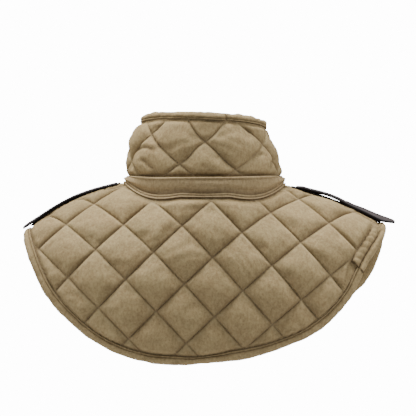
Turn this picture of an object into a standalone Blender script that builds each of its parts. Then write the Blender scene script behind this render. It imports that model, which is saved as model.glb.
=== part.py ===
# Quilted padded collar: a standing collar on a shoulder mantle, with bound edges and two shoulder straps.
# Metres. +X is the wearer's left, +Y the wearer's back, +Z up. The origin is the middle of the neck opening.
import math

import bmesh
import bpy
from mathutils import Vector
from mathutils.geometry import delaunay_2d_cdt

OBJECT_NAME = "padded_collar"

CLEARANCE = 0.0005
EDGE_THICKNESS = 0.0044
STITCH_THICKNESS = 0.0050
MANTLE_PUFF = 0.0150
STAND_PUFF = 0.0130
RIDGE_PUFF = 0.0095
PLAIN_MARGIN = 0.010
PUFF_RISE = 0.014

# The mantle's ridge along the shoulders: its height falls from the neck to the tips.
RIDGE = {"crown": 0.0018, "neck_rise": 0.062, "neck_spread": 0.058}
RIDGE_FALL = {"left": {"by": 5.45, "power": 3.0}, "right": {"by": 2.00, "power": 2.4}}
# How far each side of the mantle stands from the ridge at the middle, and the level where it hangs straight.
SIDES = {
    "back": {"depth": 0.1160, "low": -0.150, "low_rise": 0.30, "handle": 0.034, "drop": 0.120, "lean": 0.9},
    "front": {"depth": 0.1180, "low": -0.165, "low_rise": 0.50, "handle": 0.036, "drop": 0.085, "lean": 0.5},
}
PLAN_REACH = 0.290
PLAN_POWER = 2.6

# The hem seen from behind: half an oval on each side of its lowest point, drawn at the mantle's cut edge.
TIP_X = 0.2330
TIP_Z = {"left": -0.0720, "right": -0.0640}
HEM_BACK = (
    # share of the way from the left tip to the right one, x, z
    (0.000, 0.2330, -0.0720), (0.031, 0.2266, -0.0900), (0.084, 0.2142, -0.1195), (0.141, 0.1963, -0.1492),
    (0.198, 0.1724, -0.1740), (0.260, 0.1430, -0.1975), (0.331, 0.1043, -0.2165), (0.402, 0.0620, -0.2262),
    (0.472, 0.0200, -0.2292), (0.546, -0.0250, -0.2232), (0.606, -0.0606, -0.2154), (0.674, -0.0996, -0.2035),
    (0.739, -0.1355, -0.1871), (0.790, -0.1606, -0.1682), (0.853, -0.1854, -0.1390), (0.905, -0.2031, -0.1130),
    (0.938, -0.2160, -0.0950), (0.972, -0.2268, -0.0785), (1.000, -0.2330, -0.0640),
)
HEM_FRONT = {"lowest_z": -0.2050, "power": 2.2}
SHOULDER_SEAM = 0.018
SEAM_GAP = 0.0008
FRONT_SLIT = 0.0046
PRESSED = 0.0076

# Quilting: diamonds as wide as they are tall on the mantle, flatter on the standing collar.
MANTLE_PITCH = 0.0740
STAND_PITCH = {"round": 0.0780, "up": 0.0600}
CELL_STEPS = 4
QUILT_ROW = {"level": -0.1314, "tilt": 0.1075, "arch": 0.30, "column": 0.0265}
FRONT_ROW = {"level": -0.1100, "tilt": 0.0, "arch": 0.40, "column": 0.0370}
STAND_ROW = {"level": 0.0505, "column": 0.0000, "tilt": -0.065}

# Outer half sizes of the standing collar at each height above the neck.
STAND_SECTIONS = (
    {"z": -0.060, "left": 0.1030, "right": 0.1020, "back": 0.0900, "front": 0.0960},
    {"z": -0.010, "left": 0.1025, "right": 0.1010, "back": 0.0905, "front": 0.0925},
    {"z": 0.025, "left": 0.1005, "right": 0.0970, "back": 0.0895, "front": 0.0885},
    {"z": 0.055, "left": 0.0965, "right": 0.0875, "back": 0.0860, "front": 0.0840},
    {"z": 0.090, "left": 0.0800, "right": 0.0745, "back": 0.0800, "front": 0.0780},
)
STAND_TOP = {"side": 0.0815, "back": 0.0865, "front": 0.0520, "higher_left": 0.0032}
NECK_HALF = {"left": 0.0975, "right": 0.0965, "back": 0.0855, "front": 0.0900}
NECK_BACK_POWER = 1.82
BAND_TOP = {"back": 0.0090, "front": -0.0180}
# The band's foot on the mantle: how far out from the neck line, and how high over the mantle's face.
BAND_FOOT = ((0.0036, 0.0012), (0.0060, 0.0010), (0.0070, 0.0028))
BAND_REACH = 0.0100

# The folded cloth strips that bind the edges, as sections across the edge.
HEM_BINDING = {"cover": 0.0085, "nose": 0.0036, "puff": 0.0050, "wide_cover": 0.0125}
TOP_BINDING = {"cover": 0.0080, "nose": 0.0034, "puff": 0.0048}
BINDING_INNER = 0.0030
BINDING_JOIN = {"x": -0.2020, "gap": 0.0006}

# Shoulder straps: a base layer sewn along the ridge, and a long strap over it that a post holds down.
# A row says how far the strap stands off its base there, and how it tilts towards the back.
STRAP = {"width": 0.024, "thickness": 0.0026, "tip_width": 0.008, "taper": 0.016, "step": 0.0110}
STRAP_HOLE = 0.0020
STRAP_ROW = 0.0060
BASE = {"width": 0.026, "thickness": 0.0022, "press": 0.0044}
STRAP_LIFTS = {
    "left": (
        {"x": 0.114, "lift": 0.0005, "roll": 0.0},
        {"x": 0.140, "lift": 0.0008, "roll": 0.0},
        {"x": 0.205, "lift": 0.0005, "roll": 0.0},
        {"x": 0.2295, "lift": 0.0030, "roll": 0.0},
    ),
    "right": (
        {"x": 0.118, "lift": 0.0005, "roll": 0.0},
        {"x": 0.134, "lift": 0.0024, "roll": 0.0},
        {"x": 0.154, "lift": 0.0034, "roll": 0.0},
        {"x": 0.172, "lift": 0.0018, "roll": 0.0},
        {"x": 0.185, "lift": 0.0005, "roll": 0.0},
        {"x": 0.205, "lift": 0.0022, "roll": 0.12},
        {"x": 0.222, "lift": 0.0050, "roll": 0.24},
        {"x": 0.238, "lift": 0.0090, "roll": 0.26},
    ),
}
STRAP_BASES = {"left": (0.110, 0.2235), "right": (0.112, 0.1960)}
STRAP_POSTS = {"left": 0.2000, "right": 0.1850}
STRAP_HOLES = {"left": (0.1815, 0.2185), "right": (0.2030, 0.2214)}
POST = {"head": 0.0048, "head_thickness": 0.0011, "shank": 0.0018, "hole": 0.0024, "steps": 12}
CLASP = {"width": 0.060, "height": 0.022, "thickness": 0.0026, "corner": 0.004, "settle": 0.0006}

COLOURS = {
    "quilted_cloth": (0.30, 0.23, 0.135),
    "binding_cloth": (0.29, 0.22, 0.13),
    "band_cloth": (0.27, 0.20, 0.115),
    "strap_leather": (0.020, 0.014, 0.013),
    "post_metal": (0.10, 0.09, 0.08),
}


def blend(low, high, t):
    return low + (high - low) * t


def ease(t):
    t = min(1.0, max(0.0, t))
    return t * t * (3.0 - 2.0 * t)


def table_at(rows, key, value, column):
    """Reads a column of a short table at a value between its rows, on a smooth curve through them."""
    if value <= rows[0][key]:
        return rows[0][column]
    for i in range(len(rows) - 1):
        a, b = rows[i], rows[i + 1]
        if value > b[key]:
            continue
        span = b[key] - a[key]
        t = (value - a[key]) / span
        slopes = []
        for j in (i, i + 1):
            before, after = rows[max(0, j - 1)], rows[min(len(rows) - 1, j + 1)]
            slopes.append((after[column] - before[column]) / (after[key] - before[key]) * span)
        rise = b[column] - a[column]
        return (
            a[column] + slopes[0] * t + (3 * rise - 2 * slopes[0] - slopes[1]) * t * t
            + (slopes[0] + slopes[1] - 2 * rise) * t ** 3
        )
    return rows[-1][column]


# The mantle's middle surface: a section across the shoulder at every x, running over the ridge.
def ridge_z(x):
    fall = RIDGE_FALL["left" if x >= 0 else "right"]
    hump = RIDGE["neck_rise"] * math.exp(-((x / RIDGE["neck_spread"]) ** 2))
    return RIDGE["crown"] + hump - fall["by"] * abs(x) ** fall["power"]


SECTION_STEPS = 40
SECTION_STEP_LENGTH = 0.004
SECTION_TAIL = 30
section_store = {}


def section(x, side):
    """Points (y, z, length from the ridge) down one side of the mantle at this x."""
    key = (round(x, 6), side)
    if key in section_store:
        return section_store[key]
    form = SIDES[side]
    sign = 1.0 if side == "back" else -1.0
    depth = form["depth"] * (1.0 - min(0.97, abs(x) / PLAN_REACH) ** PLAN_POWER)
    low = form["low"] + form["low_rise"] * x * x
    top = ridge_z(x)
    handle = form["handle"] * (1.0 + 0.5 * math.exp(-((x / 0.07) ** 2))) * min(1.0, depth / 0.06)
    drop = min(form["drop"], 0.6 * (top - low))
    corners = ((0.0, top), (handle, top), (depth, low + drop), (depth, low))
    points = []
    for i in range(SECTION_STEPS + 1):
        t = i / SECTION_STEPS
        weights = ((1 - t) ** 3, 3 * t * (1 - t) ** 2, 3 * t * t * (1 - t), t ** 3)
        points.append([sum(w * c[k] for w, c in zip(weights, corners)) for k in (0, 1)])
    for i in range(1, SECTION_TAIL + 1):
        down = i * SECTION_STEP_LENGTH
        points.append([depth - form["lean"] * down * down, low - down])
    rows = [(0.0, top, 0.0)]
    for before, after in zip(points, points[1:]):
        length = rows[-1][2] + math.dist(before, after)
        rows.append((sign * after[0], after[1], length))
    section_store[key] = rows
    return rows


def read_section(x, side, column, value):
    """The row of a section where a column reaches this value; every column runs one way."""
    rows = section(x, side)
    goal = abs(value) if column == 0 else value
    for before, after in zip(rows, rows[1:]):
        low, high = (abs(before[0]), abs(after[0])) if column == 0 else (before[column], after[column])
        if min(low, high) <= goal <= max(low, high) and low != high:
            t = (goal - low) / (high - low)
            return [blend(p, q, t) for p, q in zip(before, after)]
    return list(rows[0] if abs(goal - (rows[0][column])) < abs(goal - (rows[-1][column])) else rows[-1])


def mantle_point(x, q):
    """The middle surface at this x and this length over the ridge: behind it is positive, in front negative."""
    row = read_section(x, "back" if q >= 0 else "front", 2, abs(q))
    return Vector((x, row[0], row[1]))


def mantle_normal(x, q):
    step = 0.002
    along = mantle_point(x + step, q) - mantle_point(x - step, q)
    over = mantle_point(x, q + step) - mantle_point(x, q - step)
    return along.cross(over).normalized()


def length_at_height(x, side, z):
    sign = 1.0 if side == "back" else -1.0
    return sign * read_section(x, side, 1, z)[2]


# The neck line, and the hem, both as (x, q) on the mantle.
def neck_plan(angle):
    """The neck opening in plan: angle 0 is the wearer's left, a quarter turn is the back."""
    c, s = math.cos(angle), math.sin(angle)
    if s > 0:
        shrink = (abs(c) ** NECK_BACK_POWER + s ** NECK_BACK_POWER) ** (-1 / NECK_BACK_POWER)
        c, s = c * shrink, s * shrink
    return NECK_HALF["left" if c >= 0 else "right"] * c, NECK_HALF["back" if s >= 0 else "front"] * s


def neck_xq(angle):
    x, y = neck_plan(angle)
    side = "back" if y >= 0 else "front"
    return x, math.copysign(read_section(x, side, 0, y)[2], y)


def hem_xq(t):
    """The hem, t from 0 at the left tip over the back to 1 at the right tip, then to 2 over the front."""
    if t <= 1.0:
        side = "back"
        x, z = table_at(HEM_BACK, 0, t, 1), table_at(HEM_BACK, 0, t, 2)
    else:
        side, power = "front", 2 / HEM_FRONT["power"]
        c, s = math.cos(math.pi * (2.0 - t)), math.sin(math.pi * (2.0 - t))
        tip = TIP_Z["left" if c >= 0 else "right"]
        x = TIP_X * math.copysign(abs(c) ** power, c)
        z = tip + (HEM_FRONT["lowest_z"] - tip) * s ** power
    return x, length_at_height(x, side, min(z, ridge_z(x) - 0.004))


def spaced(points, step):
    """The same open path with points at even spacing."""
    lengths = [0.0]
    for a, b in zip(points, points[1:]):
        lengths.append(lengths[-1] + math.dist(a, b))
    count = max(2, round(lengths[-1] / step))
    out, i = [], 0
    for k in range(count + 1):
        goal = lengths[-1] * k / count
        while i < len(points) - 2 and lengths[i + 1] < goal:
            i += 1
        t = (goal - lengths[i]) / max(1e-9, lengths[i + 1] - lengths[i])
        out.append(tuple(blend(p, q, min(1.0, t)) for p, q in zip(points[i], points[i + 1])))
    return out


def rounded(points, passes=2):
    """An open path with its corners cut by averaging, its ends kept."""
    for _ in range(passes):
        inner = [
            tuple((a + 2 * b + c) / 4 for a, b, c in zip(*trio))
            for trio in zip(points, points[1:], points[2:])
        ]
        points = [points[0]] + inner + [points[-1]]
    return points


def normal_2d(points, i, closed=False):
    before = points[i - 1] if i or closed else points[0]
    after = points[(i + 1) % len(points)] if closed or i + 1 < len(points) else points[i]
    dx, dy = after[0] - before[0], after[1] - before[1]
    length = math.hypot(dx, dy) or 1.0
    return dy / length, -dx / length


HEM_STEP = 0.0175
HEM_TURN = 0.28
FINE_STEP = 0.0050


def thinned(path, longest, most_turn):
    """Fewer points of a fine path: far apart where it runs straight, closer where it turns."""
    kept = [path[0]]
    run, turned = 0.0, 0.0
    for a, b, c in zip(path, path[1:], path[2:]):
        run += math.dist(a, b)
        heading = math.atan2(c[1] - b[1], c[0] - b[0]) - math.atan2(b[1] - a[1], b[0] - a[0])
        turned += abs(math.remainder(heading, 2 * math.pi))
        if run + math.dist(b, c) > longest or turned > most_turn:
            kept.append(b)
            run, turned = 0.0, 0.0
    return kept + [path[-1]]


def trimmed(path, length):
    """The path without its first stretch."""
    for i, (a, b) in enumerate(zip(path, path[1:])):
        step = math.dist(a, b)
        if step > length:
            return [tuple(blend(p, q, length / step) for p, q in zip(a, b))] + path[i + 1:]
        length -= step
    return path[-1:]


def turned_left(loop):
    """The same closed path, running anticlockwise."""
    area = sum(a[0] * b[1] - b[0] * a[1] for a, b in zip(loop, loop[1:] + loop[:1]))
    return loop if area > 0 else loop[::-1]


def mantle_edge():
    """The mantle's whole cut edge as (x, q), from the left of the front slit round the hem to its right."""
    steps = 240
    top_q = neck_xq(1.5 * math.pi)[1]
    hem_left = [hem_xq(2.0 - t / steps) for t in range(steps // 2)]
    hem_back = [hem_xq(t / steps) for t in range(steps + 1)]
    hem_right = [hem_xq(1.0 + t / steps) for t in range(1, steps // 2)]
    left_front = [p for p in reversed(hem_left) if p[0] > FRONT_SLIT + 0.004]
    right_front = [p for p in hem_right if p[0] < -FRONT_SLIT - 0.004]
    path = [(FRONT_SLIT, top_q), (FRONT_SLIT, left_front[0][1] + 0.004)]
    path += left_front + hem_back + right_front
    path += [(-FRONT_SLIT, right_front[-1][1] + 0.004), (-FRONT_SLIT, top_q)]
    return thinned(rounded(spaced(path, FINE_STEP), 12), HEM_STEP, HEM_TURN)


def inside(point, loop):
    x, y = point
    hit = False
    for (x0, y0), (x1, y1) in zip(loop, loop[1:] + loop[:1]):
        if (y0 > y) != (y1 > y) and x < x0 + (y - y0) * (x1 - x0) / (y1 - y0):
            hit = not hit
    return hit


def distance_to(point, path, closed=True):
    ends = path[1:] + path[:1] if closed else path[1:]
    best = 1.0
    px, py = point
    for (x0, y0), (x1, y1) in zip(path, ends):
        dx, dy = x1 - x0, y1 - y0
        t = ((px - x0) * dx + (py - y0) * dy) / max(1e-12, dx * dx + dy * dy)
        t = min(1.0, max(0.0, t))
        best = min(best, math.hypot(px - x0 - t * dx, py - y0 - t * dy))
    return best


def diamonds(bounds, pitch_u, pitch_v, origin, steps):
    """Points of the diamond quilting's own grid, a few to each side of a diamond, within bounds."""
    (u0, v0), (u1, v1) = bounds
    reach = int(max((u1 - u0) / pitch_u, (v1 - v0) / pitch_v) * steps) + 2 * steps
    centre = (round((u0 + u1) / 2 / pitch_u) * pitch_u + origin[0], round((v0 + v1) / 2 / pitch_v) * pitch_v + origin[1])
    for i in range(-reach, reach + 1):
        for j in range(-reach, reach + 1):
            u = centre[0] + (i + j) * pitch_u / (2 * steps)
            v = centre[1] + (i - j) * pitch_v / (2 * steps)
            if u0 < u < u1 and v0 < v < v1:
                yield u, v


def quilt_puff(u, v, pitch_u, pitch_v, origin):
    """0 on the stitched lines and 1 in the middle of a diamond."""
    across, up = (u - origin[0]) / pitch_u, (v - origin[1]) / pitch_v
    return math.sqrt(abs(math.sin(math.pi * (across + up)) * math.sin(math.pi * (across - up))))


def sheet(name, outline, inner_points, place, thickness, material, collection, holes=()):
    """A shell from a flat outline: its points are joined by triangles, placed in space, then given thickness."""
    points = [Vector(p) for p in outline]
    edges = [(i, (i + 1) % len(outline)) for i in range(len(outline))]
    for hole in holes:
        first = len(points)
        points += [Vector(p) for p in hole]
        edges += [(first + i, first + (i + 1) % len(hole)) for i in range(len(hole))]
    points += [Vector(p) for p in inner_points]
    flat, _, triangles, *_ = delaunay_2d_cdt(points, edges, [], 0, 1e-7)
    kept = []
    for triangle in triangles:
        middle = sum((flat[i] for i in triangle), Vector((0, 0))) / 3
        if inside(middle, outline) and not any(inside(middle, hole) for hole in holes):
            kept.append(triangle)
    mesh = bpy.data.meshes.new(name)
    mesh.from_pydata([place(*p) for p in flat], [], kept)
    bm = bmesh.new()
    bm.from_mesh(mesh)
    bmesh.ops.delete(bm, geom=[v for v in bm.verts if not v.link_faces], context="VERTS")
    bm.to_mesh(mesh)
    obj = bpy.data.objects.new(name, mesh)
    collection.objects.link(obj)
    mesh.materials.append(material)
    used = sorted({i for t in kept for i in t})
    values = [thickness(*flat[i]) for i in used]
    most = max(values)
    group = obj.vertex_groups.new(name="padding")
    for index, value in enumerate(values):
        group.add([index], value / most, "REPLACE")
    solid = obj.modifiers.new("Padding", "SOLIDIFY")
    solid.thickness = most
    solid.offset = 0.0
    solid.vertex_group = group.name
    solid.thickness_vertex_group = 0.0
    mesh.shade_smooth()
    mesh.set_sharp_from_angle(angle=math.radians(50))
    return obj


def strip(name, rings, material, collection):
    """A closed body lofted through rings that each have the same number of points."""
    mesh = bpy.data.meshes.new(name)
    size = len(rings[0])
    faces = [tuple(range(size))[::-1], tuple(range((len(rings) - 1) * size, len(rings) * size))]
    for r in range(len(rings) - 1):
        for i in range(size):
            j = (i + 1) % size
            faces.append((r * size + i, r * size + j, (r + 1) * size + j, (r + 1) * size + i))
    mesh.from_pydata([p for ring in rings for p in ring], [], faces)
    bm = bmesh.new()
    bm.from_mesh(mesh)
    bmesh.ops.recalc_face_normals(bm, faces=bm.faces)
    bm.to_mesh(mesh)
    mesh.materials.append(material)
    mesh.shade_smooth()
    mesh.set_sharp_from_angle(angle=math.radians(50))
    obj = bpy.data.objects.new(name, mesh)
    collection.objects.link(obj)
    return obj


def make_material(name, roughness, metallic=0.0):
    material = bpy.data.materials.new(name)
    material.use_nodes = True
    shader = material.node_tree.nodes["Principled BSDF"]
    shader.inputs["Base Color"].default_value = (*COLOURS[name], 1.0)
    shader.inputs["Roughness"].default_value = roughness
    shader.inputs["Metallic"].default_value = metallic
    return material


# Mantle panels
def binding_cover(x, q):
    """How far the hem's binding reaches in from the edge: more behind the right shoulder, up to the join."""
    wide = ease((BINDING_JOIN["x"] + 0.012 - x) / 0.008) * ease((q - 0.024) / 0.020)
    return blend(HEM_BINDING["cover"], HEM_BINDING["wide_cover"], wide)


def plain_margin(x, q):
    return binding_cover(x - 0.016, q + 0.012) + 0.0015


def quilt_uv(x, q):
    """Where a point of the mantle lies on its panel's quilting: across, and up from the middle row."""
    side, form = ("back", QUILT_ROW) if q >= 0 else ("front", FRONT_ROW)
    level = form["level"] + form["tilt"] * x - form["arch"] * x * x
    return x, form["level"] + abs(length_at_height(x, side, level)) - abs(q)


def quilt_xq(u, v, side):
    form = QUILT_ROW if side == "back" else FRONT_ROW
    level = form["level"] + form["tilt"] * u - form["arch"] * u * u
    length = form["level"] + abs(length_at_height(u, side, level)) - v
    return u, length if side == "back" else -length


def mantle_panel(name, outline, side, plain_edges, material, collection):
    """One quilted panel of the mantle inside an (x, q) outline."""
    outline = turned_left(outline)
    form = QUILT_ROW if side == "back" else FRONT_ROW
    origin = (form["column"], form["level"])
    low = tuple(min(p[k] for p in outline) for k in (0, 1))
    high = tuple(max(p[k] for p in outline) for k in (0, 1))
    heights = [quilt_uv(x, q)[1] for x, q in outline]
    bounds = ((low[0], min(heights) - 0.02), (high[0], max(heights) + 0.02))
    cell = MANTLE_PITCH / math.sqrt(2) / CELL_STEPS
    inner = []
    for i, point in enumerate(outline):
        nx, nq = normal_2d(outline, i, closed=True)
        margin = plain_margin(*point)
        moved = (point[0] - margin * nx, point[1] - margin * nq)
        if inside(moved, outline) and distance_to(moved, outline) > 0.93 * margin:
            inner.append(moved)
    for u, v in diamonds(bounds, MANTLE_PITCH, MANTLE_PITCH, origin, CELL_STEPS):
        point = quilt_xq(u, v, side)
        if inside(point, outline) and distance_to(point, outline) > plain_margin(*point) + 0.5 * cell:
            inner.append(point)

    def thickness(x, q):
        puff = quilt_puff(*quilt_uv(x, q), MANTLE_PITCH, MANTLE_PITCH, origin)
        rise = ease((distance_to((x, q), plain_edges, closed=False) - plain_margin(x, q)) / PUFF_RISE)
        seam = ease(abs(q - SHOULDER_SEAM) / 0.012)
        full = blend(RIDGE_PUFF, MANTLE_PUFF, ease((abs(q) - 0.010) / 0.024))
        under_strap = ease((abs(x) - 0.098) / 0.012) * (1.0 - ease((abs(q) - 0.014) / 0.012))
        padded = blend(STITCH_THICKNESS + (full - STITCH_THICKNESS) * puff, PRESSED, under_strap)
        return blend(EDGE_THICKNESS, padded, rise * seam)

    return sheet(name, outline, inner, mantle_point, thickness, material, collection)


def build_mantle(edge, material, collection):
    """The back panel, and a front panel on each side of the slit, meeting along the shoulder seams."""
    steps = 34
    back_edge = [p for p in edge if p[1] > SHOULDER_SEAM + 0.003]
    seam = SHOULDER_SEAM + SEAM_GAP / 2
    back_angles = [math.pi * k / steps for k in range(steps + 1)]
    neck = [neck_xq(a) for a in back_angles]
    neck = [p for p in neck if p[1] > SHOULDER_SEAM + 0.004]

    def on_edge(start, end, q):
        """Where the edge between two of its points crosses this q."""
        t = (q - start[1]) / (end[1] - start[1])
        return blend(start[0], end[0], t), q

    crossings = [i for i in range(len(edge) - 1) if (edge[i][1] - seam) * (edge[i + 1][1] - seam) <= 0]
    left_tip = on_edge(edge[crossings[0]], edge[crossings[0] + 1], seam)
    right_tip = on_edge(edge[crossings[-1]], edge[crossings[-1] + 1], seam)
    neck_left = neck_at(seam, 0.0, 0.5 * math.pi)
    neck_right = neck_at(seam, math.pi, 0.5 * math.pi)
    outline = [left_tip] + back_edge + [right_tip]
    outline += spaced([right_tip, neck_right], HEM_STEP)[1:]
    outline += neck[::-1]
    outline += spaced([neck_left, left_tip], HEM_STEP)[:-1]
    plain = edge + neck[::-1]
    mantle_panel("mantle_back", outline, "back", plain, material, collection)

    front_seam = SHOULDER_SEAM - SEAM_GAP / 2
    for side, sign in (("left", 1.0), ("right", -1.0)):
        run = [p for p in edge if p[1] < SHOULDER_SEAM - 0.003 and p[0] * sign > 0]
        if side == "left":
            run = run[::-1]
        # The run now goes from the shoulder tip to the slit's top on its side.
        if run[0][0] * sign < abs(run[-1][0]):
            run = run[::-1]
        tip = left_tip if side == "left" else right_tip
        tip = (tip[0], front_seam)
        start = 0.0 if side == "left" else math.pi
        neck_seam = neck_at(front_seam, start, 0.5 * math.pi)
        turn = -1.0 if side == "left" else 1.0
        angles = [start + turn * 0.5 * math.pi * k / (steps // 2) for k in range(steps // 2)]
        front_neck = [neck_xq(a % (2 * math.pi)) for a in angles]
        front_neck = [p for p in front_neck if p[1] < front_seam - 0.004 and abs(p[0]) > FRONT_SLIT + 0.004]
        outline = [tip] + run + front_neck[::-1]
        outline += spaced([neck_seam, tip], HEM_STEP)[:-1]
        plain = [tip] + run + front_neck[::-1] + [neck_seam]
        mantle_panel(f"mantle_front_{side}", outline, "front", plain, material, collection)


def neck_at(q, start, end):
    """The point of the neck line at this q, found between two angles."""
    for _ in range(40):
        middle = (start + end) / 2
        if neck_xq(middle)[1] < q:
            start = middle
        else:
            end = middle
    return neck_xq(middle)[0], q


# Standing collar
def stand_plan(angle, z, inset):
    c, s = math.cos(angle), math.sin(angle)
    half_x = table_at(STAND_SECTIONS, "z", z, "left" if c >= 0 else "right") - inset
    half_y = table_at(STAND_SECTIONS, "z", z, "back" if s >= 0 else "front") - inset
    return half_x * c, half_y * s


def stand_top_z(angle):
    s = math.sin(angle)
    goal = STAND_TOP["back"] if s >= 0 else STAND_TOP["front"]
    return blend(STAND_TOP["side"], goal, ease(abs(s))) + STAND_TOP["higher_left"] * math.cos(angle)


def band_top_z(angle):
    return blend(BAND_TOP["back"], BAND_TOP["front"], ease(-math.sin(angle)))


def stand_base(angle):
    """The height just clear of the mantle's top face on the neck line."""
    x, q = neck_xq(angle % (2 * math.pi))
    point = mantle_point(x, q)
    normal = mantle_normal(x, q)
    outward = Vector((math.cos(angle), math.sin(angle), 0.0))
    bend = math.acos(min(1.0, max(-1.0, normal.z))) if normal.dot(outward) > 0 else 0.0
    turn = max(0.35, math.pi / 2 - bend)
    return point.z + EDGE_THICKNESS / 2 * math.tan(turn / 2) + (CLEARANCE + 0.0008) / math.sin(turn)


# The stand's middle surface is drawn flat as (u, z): u runs round the neck from the middle of the back.
STAND_RADIUS = 0.088
STAND_INSET = 0.0050
STAND_BLEND = 0.030
SLIT_ANGLE = 0.052
BAND_SLIT_ANGLE = 0.014
STAND_STEP = 0.0125


def stand_angle(u):
    return math.pi / 2 + u / STAND_RADIUS


def stand_point(u, z):
    angle = stand_angle(u)
    x, y = stand_plan(angle, z, STAND_INSET)
    seam_x, seam_y = neck_plan(angle % (2 * math.pi))
    near = 1.0 - ease((z - stand_base(angle)) / STAND_BLEND)
    return Vector((blend(x, seam_x, near), blend(y, seam_y, near), z))


def stand_normal(u, z):
    step = 0.001
    along = stand_point(u + step, z) - stand_point(u - step, z)
    rise = stand_point(u, z + step) - stand_point(u, z - step)
    return along.cross(rise).normalized()


def stand_edge():
    """The stand's free edge as (u, z): up one side of the slit, round the top and down the other side."""
    half = (math.pi - SLIT_ANGLE) * STAND_RADIUS
    base, corner = stand_base(stand_angle(half)), stand_top_z(stand_angle(half))
    path = [(-half, base)]
    path += [(u, stand_top_z(stand_angle(u))) for (u,) in spaced([(-half,), (half,)], FINE_STEP)]
    path += [(half, corner), (half, base)]
    return thinned(rounded(spaced(path, FINE_STEP / 2), 10), STAND_STEP, HEM_TURN)


def build_stand(edge, material, collection):
    """The quilted standing collar, open at the front, thin where a band or a binding covers it."""
    foot = [(u, stand_base(stand_angle(u))) for u, _ in spaced([edge[-1], edge[0]], STAND_STEP)]
    outline = turned_left(edge + foot[1:-1])
    cell = STAND_PITCH["round"] / CELL_STEPS / 2
    origin = (STAND_ROW["column"], STAND_ROW["level"])

    def band_line(u):
        angle = stand_angle(u)
        return max(stand_base(angle) + 0.004, band_top_z(angle)) + 0.002

    inner = []
    for i, (u, z) in enumerate(outline):
        nu, nz = normal_2d(outline, i, closed=True)
        moved = (u - PLAIN_MARGIN * nu, z - PLAIN_MARGIN * nz)
        if distance_to(moved, edge, closed=False) > 0.75 * PLAIN_MARGIN and moved[1] > band_line(moved[0]) + 0.003:
            inner.append(moved)
    for u, _ in foot[1:-1]:
        if distance_to((u, band_line(u)), edge, closed=False) > 0.008:
            inner.append((u, band_line(u)))
    bounds = ((edge[0][0], -0.06), (edge[-1][0], 0.11))
    for u, v in diamonds(bounds, STAND_PITCH["round"], STAND_PITCH["up"], origin, CELL_STEPS):
        z = v + STAND_ROW["tilt"] * u
        if z > band_line(u) + 0.004 and inside((u, z), outline):
            if distance_to((u, z), edge, closed=False) > PLAIN_MARGIN + 0.4 * cell:
                inner.append((u, z))

    def thickness(u, z):
        puff = quilt_puff(u, z - STAND_ROW["tilt"] * u, STAND_PITCH["round"], STAND_PITCH["up"], origin)
        free = distance_to((u, z), edge, closed=False) - PLAIN_MARGIN
        rise = ease(min(z - band_line(u), free) / 0.010)
        return blend(EDGE_THICKNESS, STITCH_THICKNESS + (STAND_PUFF - STITCH_THICKNESS) * puff, rise)

    sheet("collar_stand", outline, inner, stand_point, thickness, material, collection)


def build_band(material, collection):
    """The plain cloth band round the stand's base, over the seam that joins it to the mantle."""
    half = (math.pi - BAND_SLIT_ANGLE) * STAND_RADIUS
    rings = []
    for (u,) in spaced([(-half,), (half,)], 0.0108):
        angle = stand_angle(u)
        x, q = neck_xq(angle % (2 * math.pi))
        base, top = stand_base(angle), band_top_z(angle)
        middle = blend(base, top, 0.45)
        nx, nq = neck_out(angle)
        ring = []
        for out, lift in BAND_FOOT:
            foot_x, foot_q = x + out * nx, q + out * nq
            normal = mantle_normal(foot_x, foot_q)
            ring.append(mantle_point(foot_x, foot_q) + normal * (EDGE_THICKNESS / 2 + lift))
        close = CLEARANCE + 0.0005
        for z, lift in ((middle, 0.0052), (blend(base, top, 0.85), 0.0042), (top, 0.0024), (top, close), (middle, close)):
            ring.append(stand_point(u, z) + stand_normal(u, z) * (EDGE_THICKNESS / 2 + lift))
        rings.append(ring)
    strip("neck_band", rings, material, collection)


def neck_out(angle):
    """The direction away from the neck opening, on the mantle."""
    step = 0.02
    ahead = neck_xq((angle + step) % (2 * math.pi))
    behind = neck_xq((angle - step) % (2 * math.pi))
    dx, dq = ahead[0] - behind[0], ahead[1] - behind[1]
    length = math.hypot(dx, dq)
    return dq / length, -dx / length


# Bindings
def binding_ring(at, outward, form, cover):
    """A folded strip's section: at(n) gives the surface point and normal n metres inside the edge."""
    rows = ((cover, 0.0040), (cover * 0.4, form["puff"]))
    ring = []
    for inward, lift in rows:
        point, normal = at(inward)
        ring.append(point + normal * lift)
    edge_point, edge_normal = at(0.0)
    for lift in (form["puff"] * 0.45, -form["puff"] * 0.45):
        ring.append(edge_point + outward * form["nose"] + edge_normal * lift)
    for inward, lift in reversed(rows):
        point, normal = at(inward)
        ring.append(point - normal * lift)
    far_point, far_normal = at(cover)
    ring.append(far_point - far_normal * BINDING_INNER)
    ring.append(edge_point + outward * 0.0010 - edge_normal * BINDING_INNER)
    ring.append(edge_point + outward * 0.0010 + edge_normal * BINDING_INNER)
    ring.append(far_point + far_normal * BINDING_INNER)
    return ring


def hem_rings(path):
    rings = []
    for i, (x, q) in enumerate(path):
        nx, nq = normal_2d(path, i)
        outward = mantle_point(x + 0.002 * nx, q + 0.002 * nq) - mantle_point(x, q)

        def at(inward):
            px, pq = x - inward * nx, q - inward * nq
            return mantle_point(px, pq), mantle_normal(px, pq)

        cover = HEM_BINDING["cover"] if x > BINDING_JOIN["x"] else binding_cover(x, q)
        rings.append(binding_ring(at, outward.normalized(), HEM_BINDING, cover))
    return rings


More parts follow.
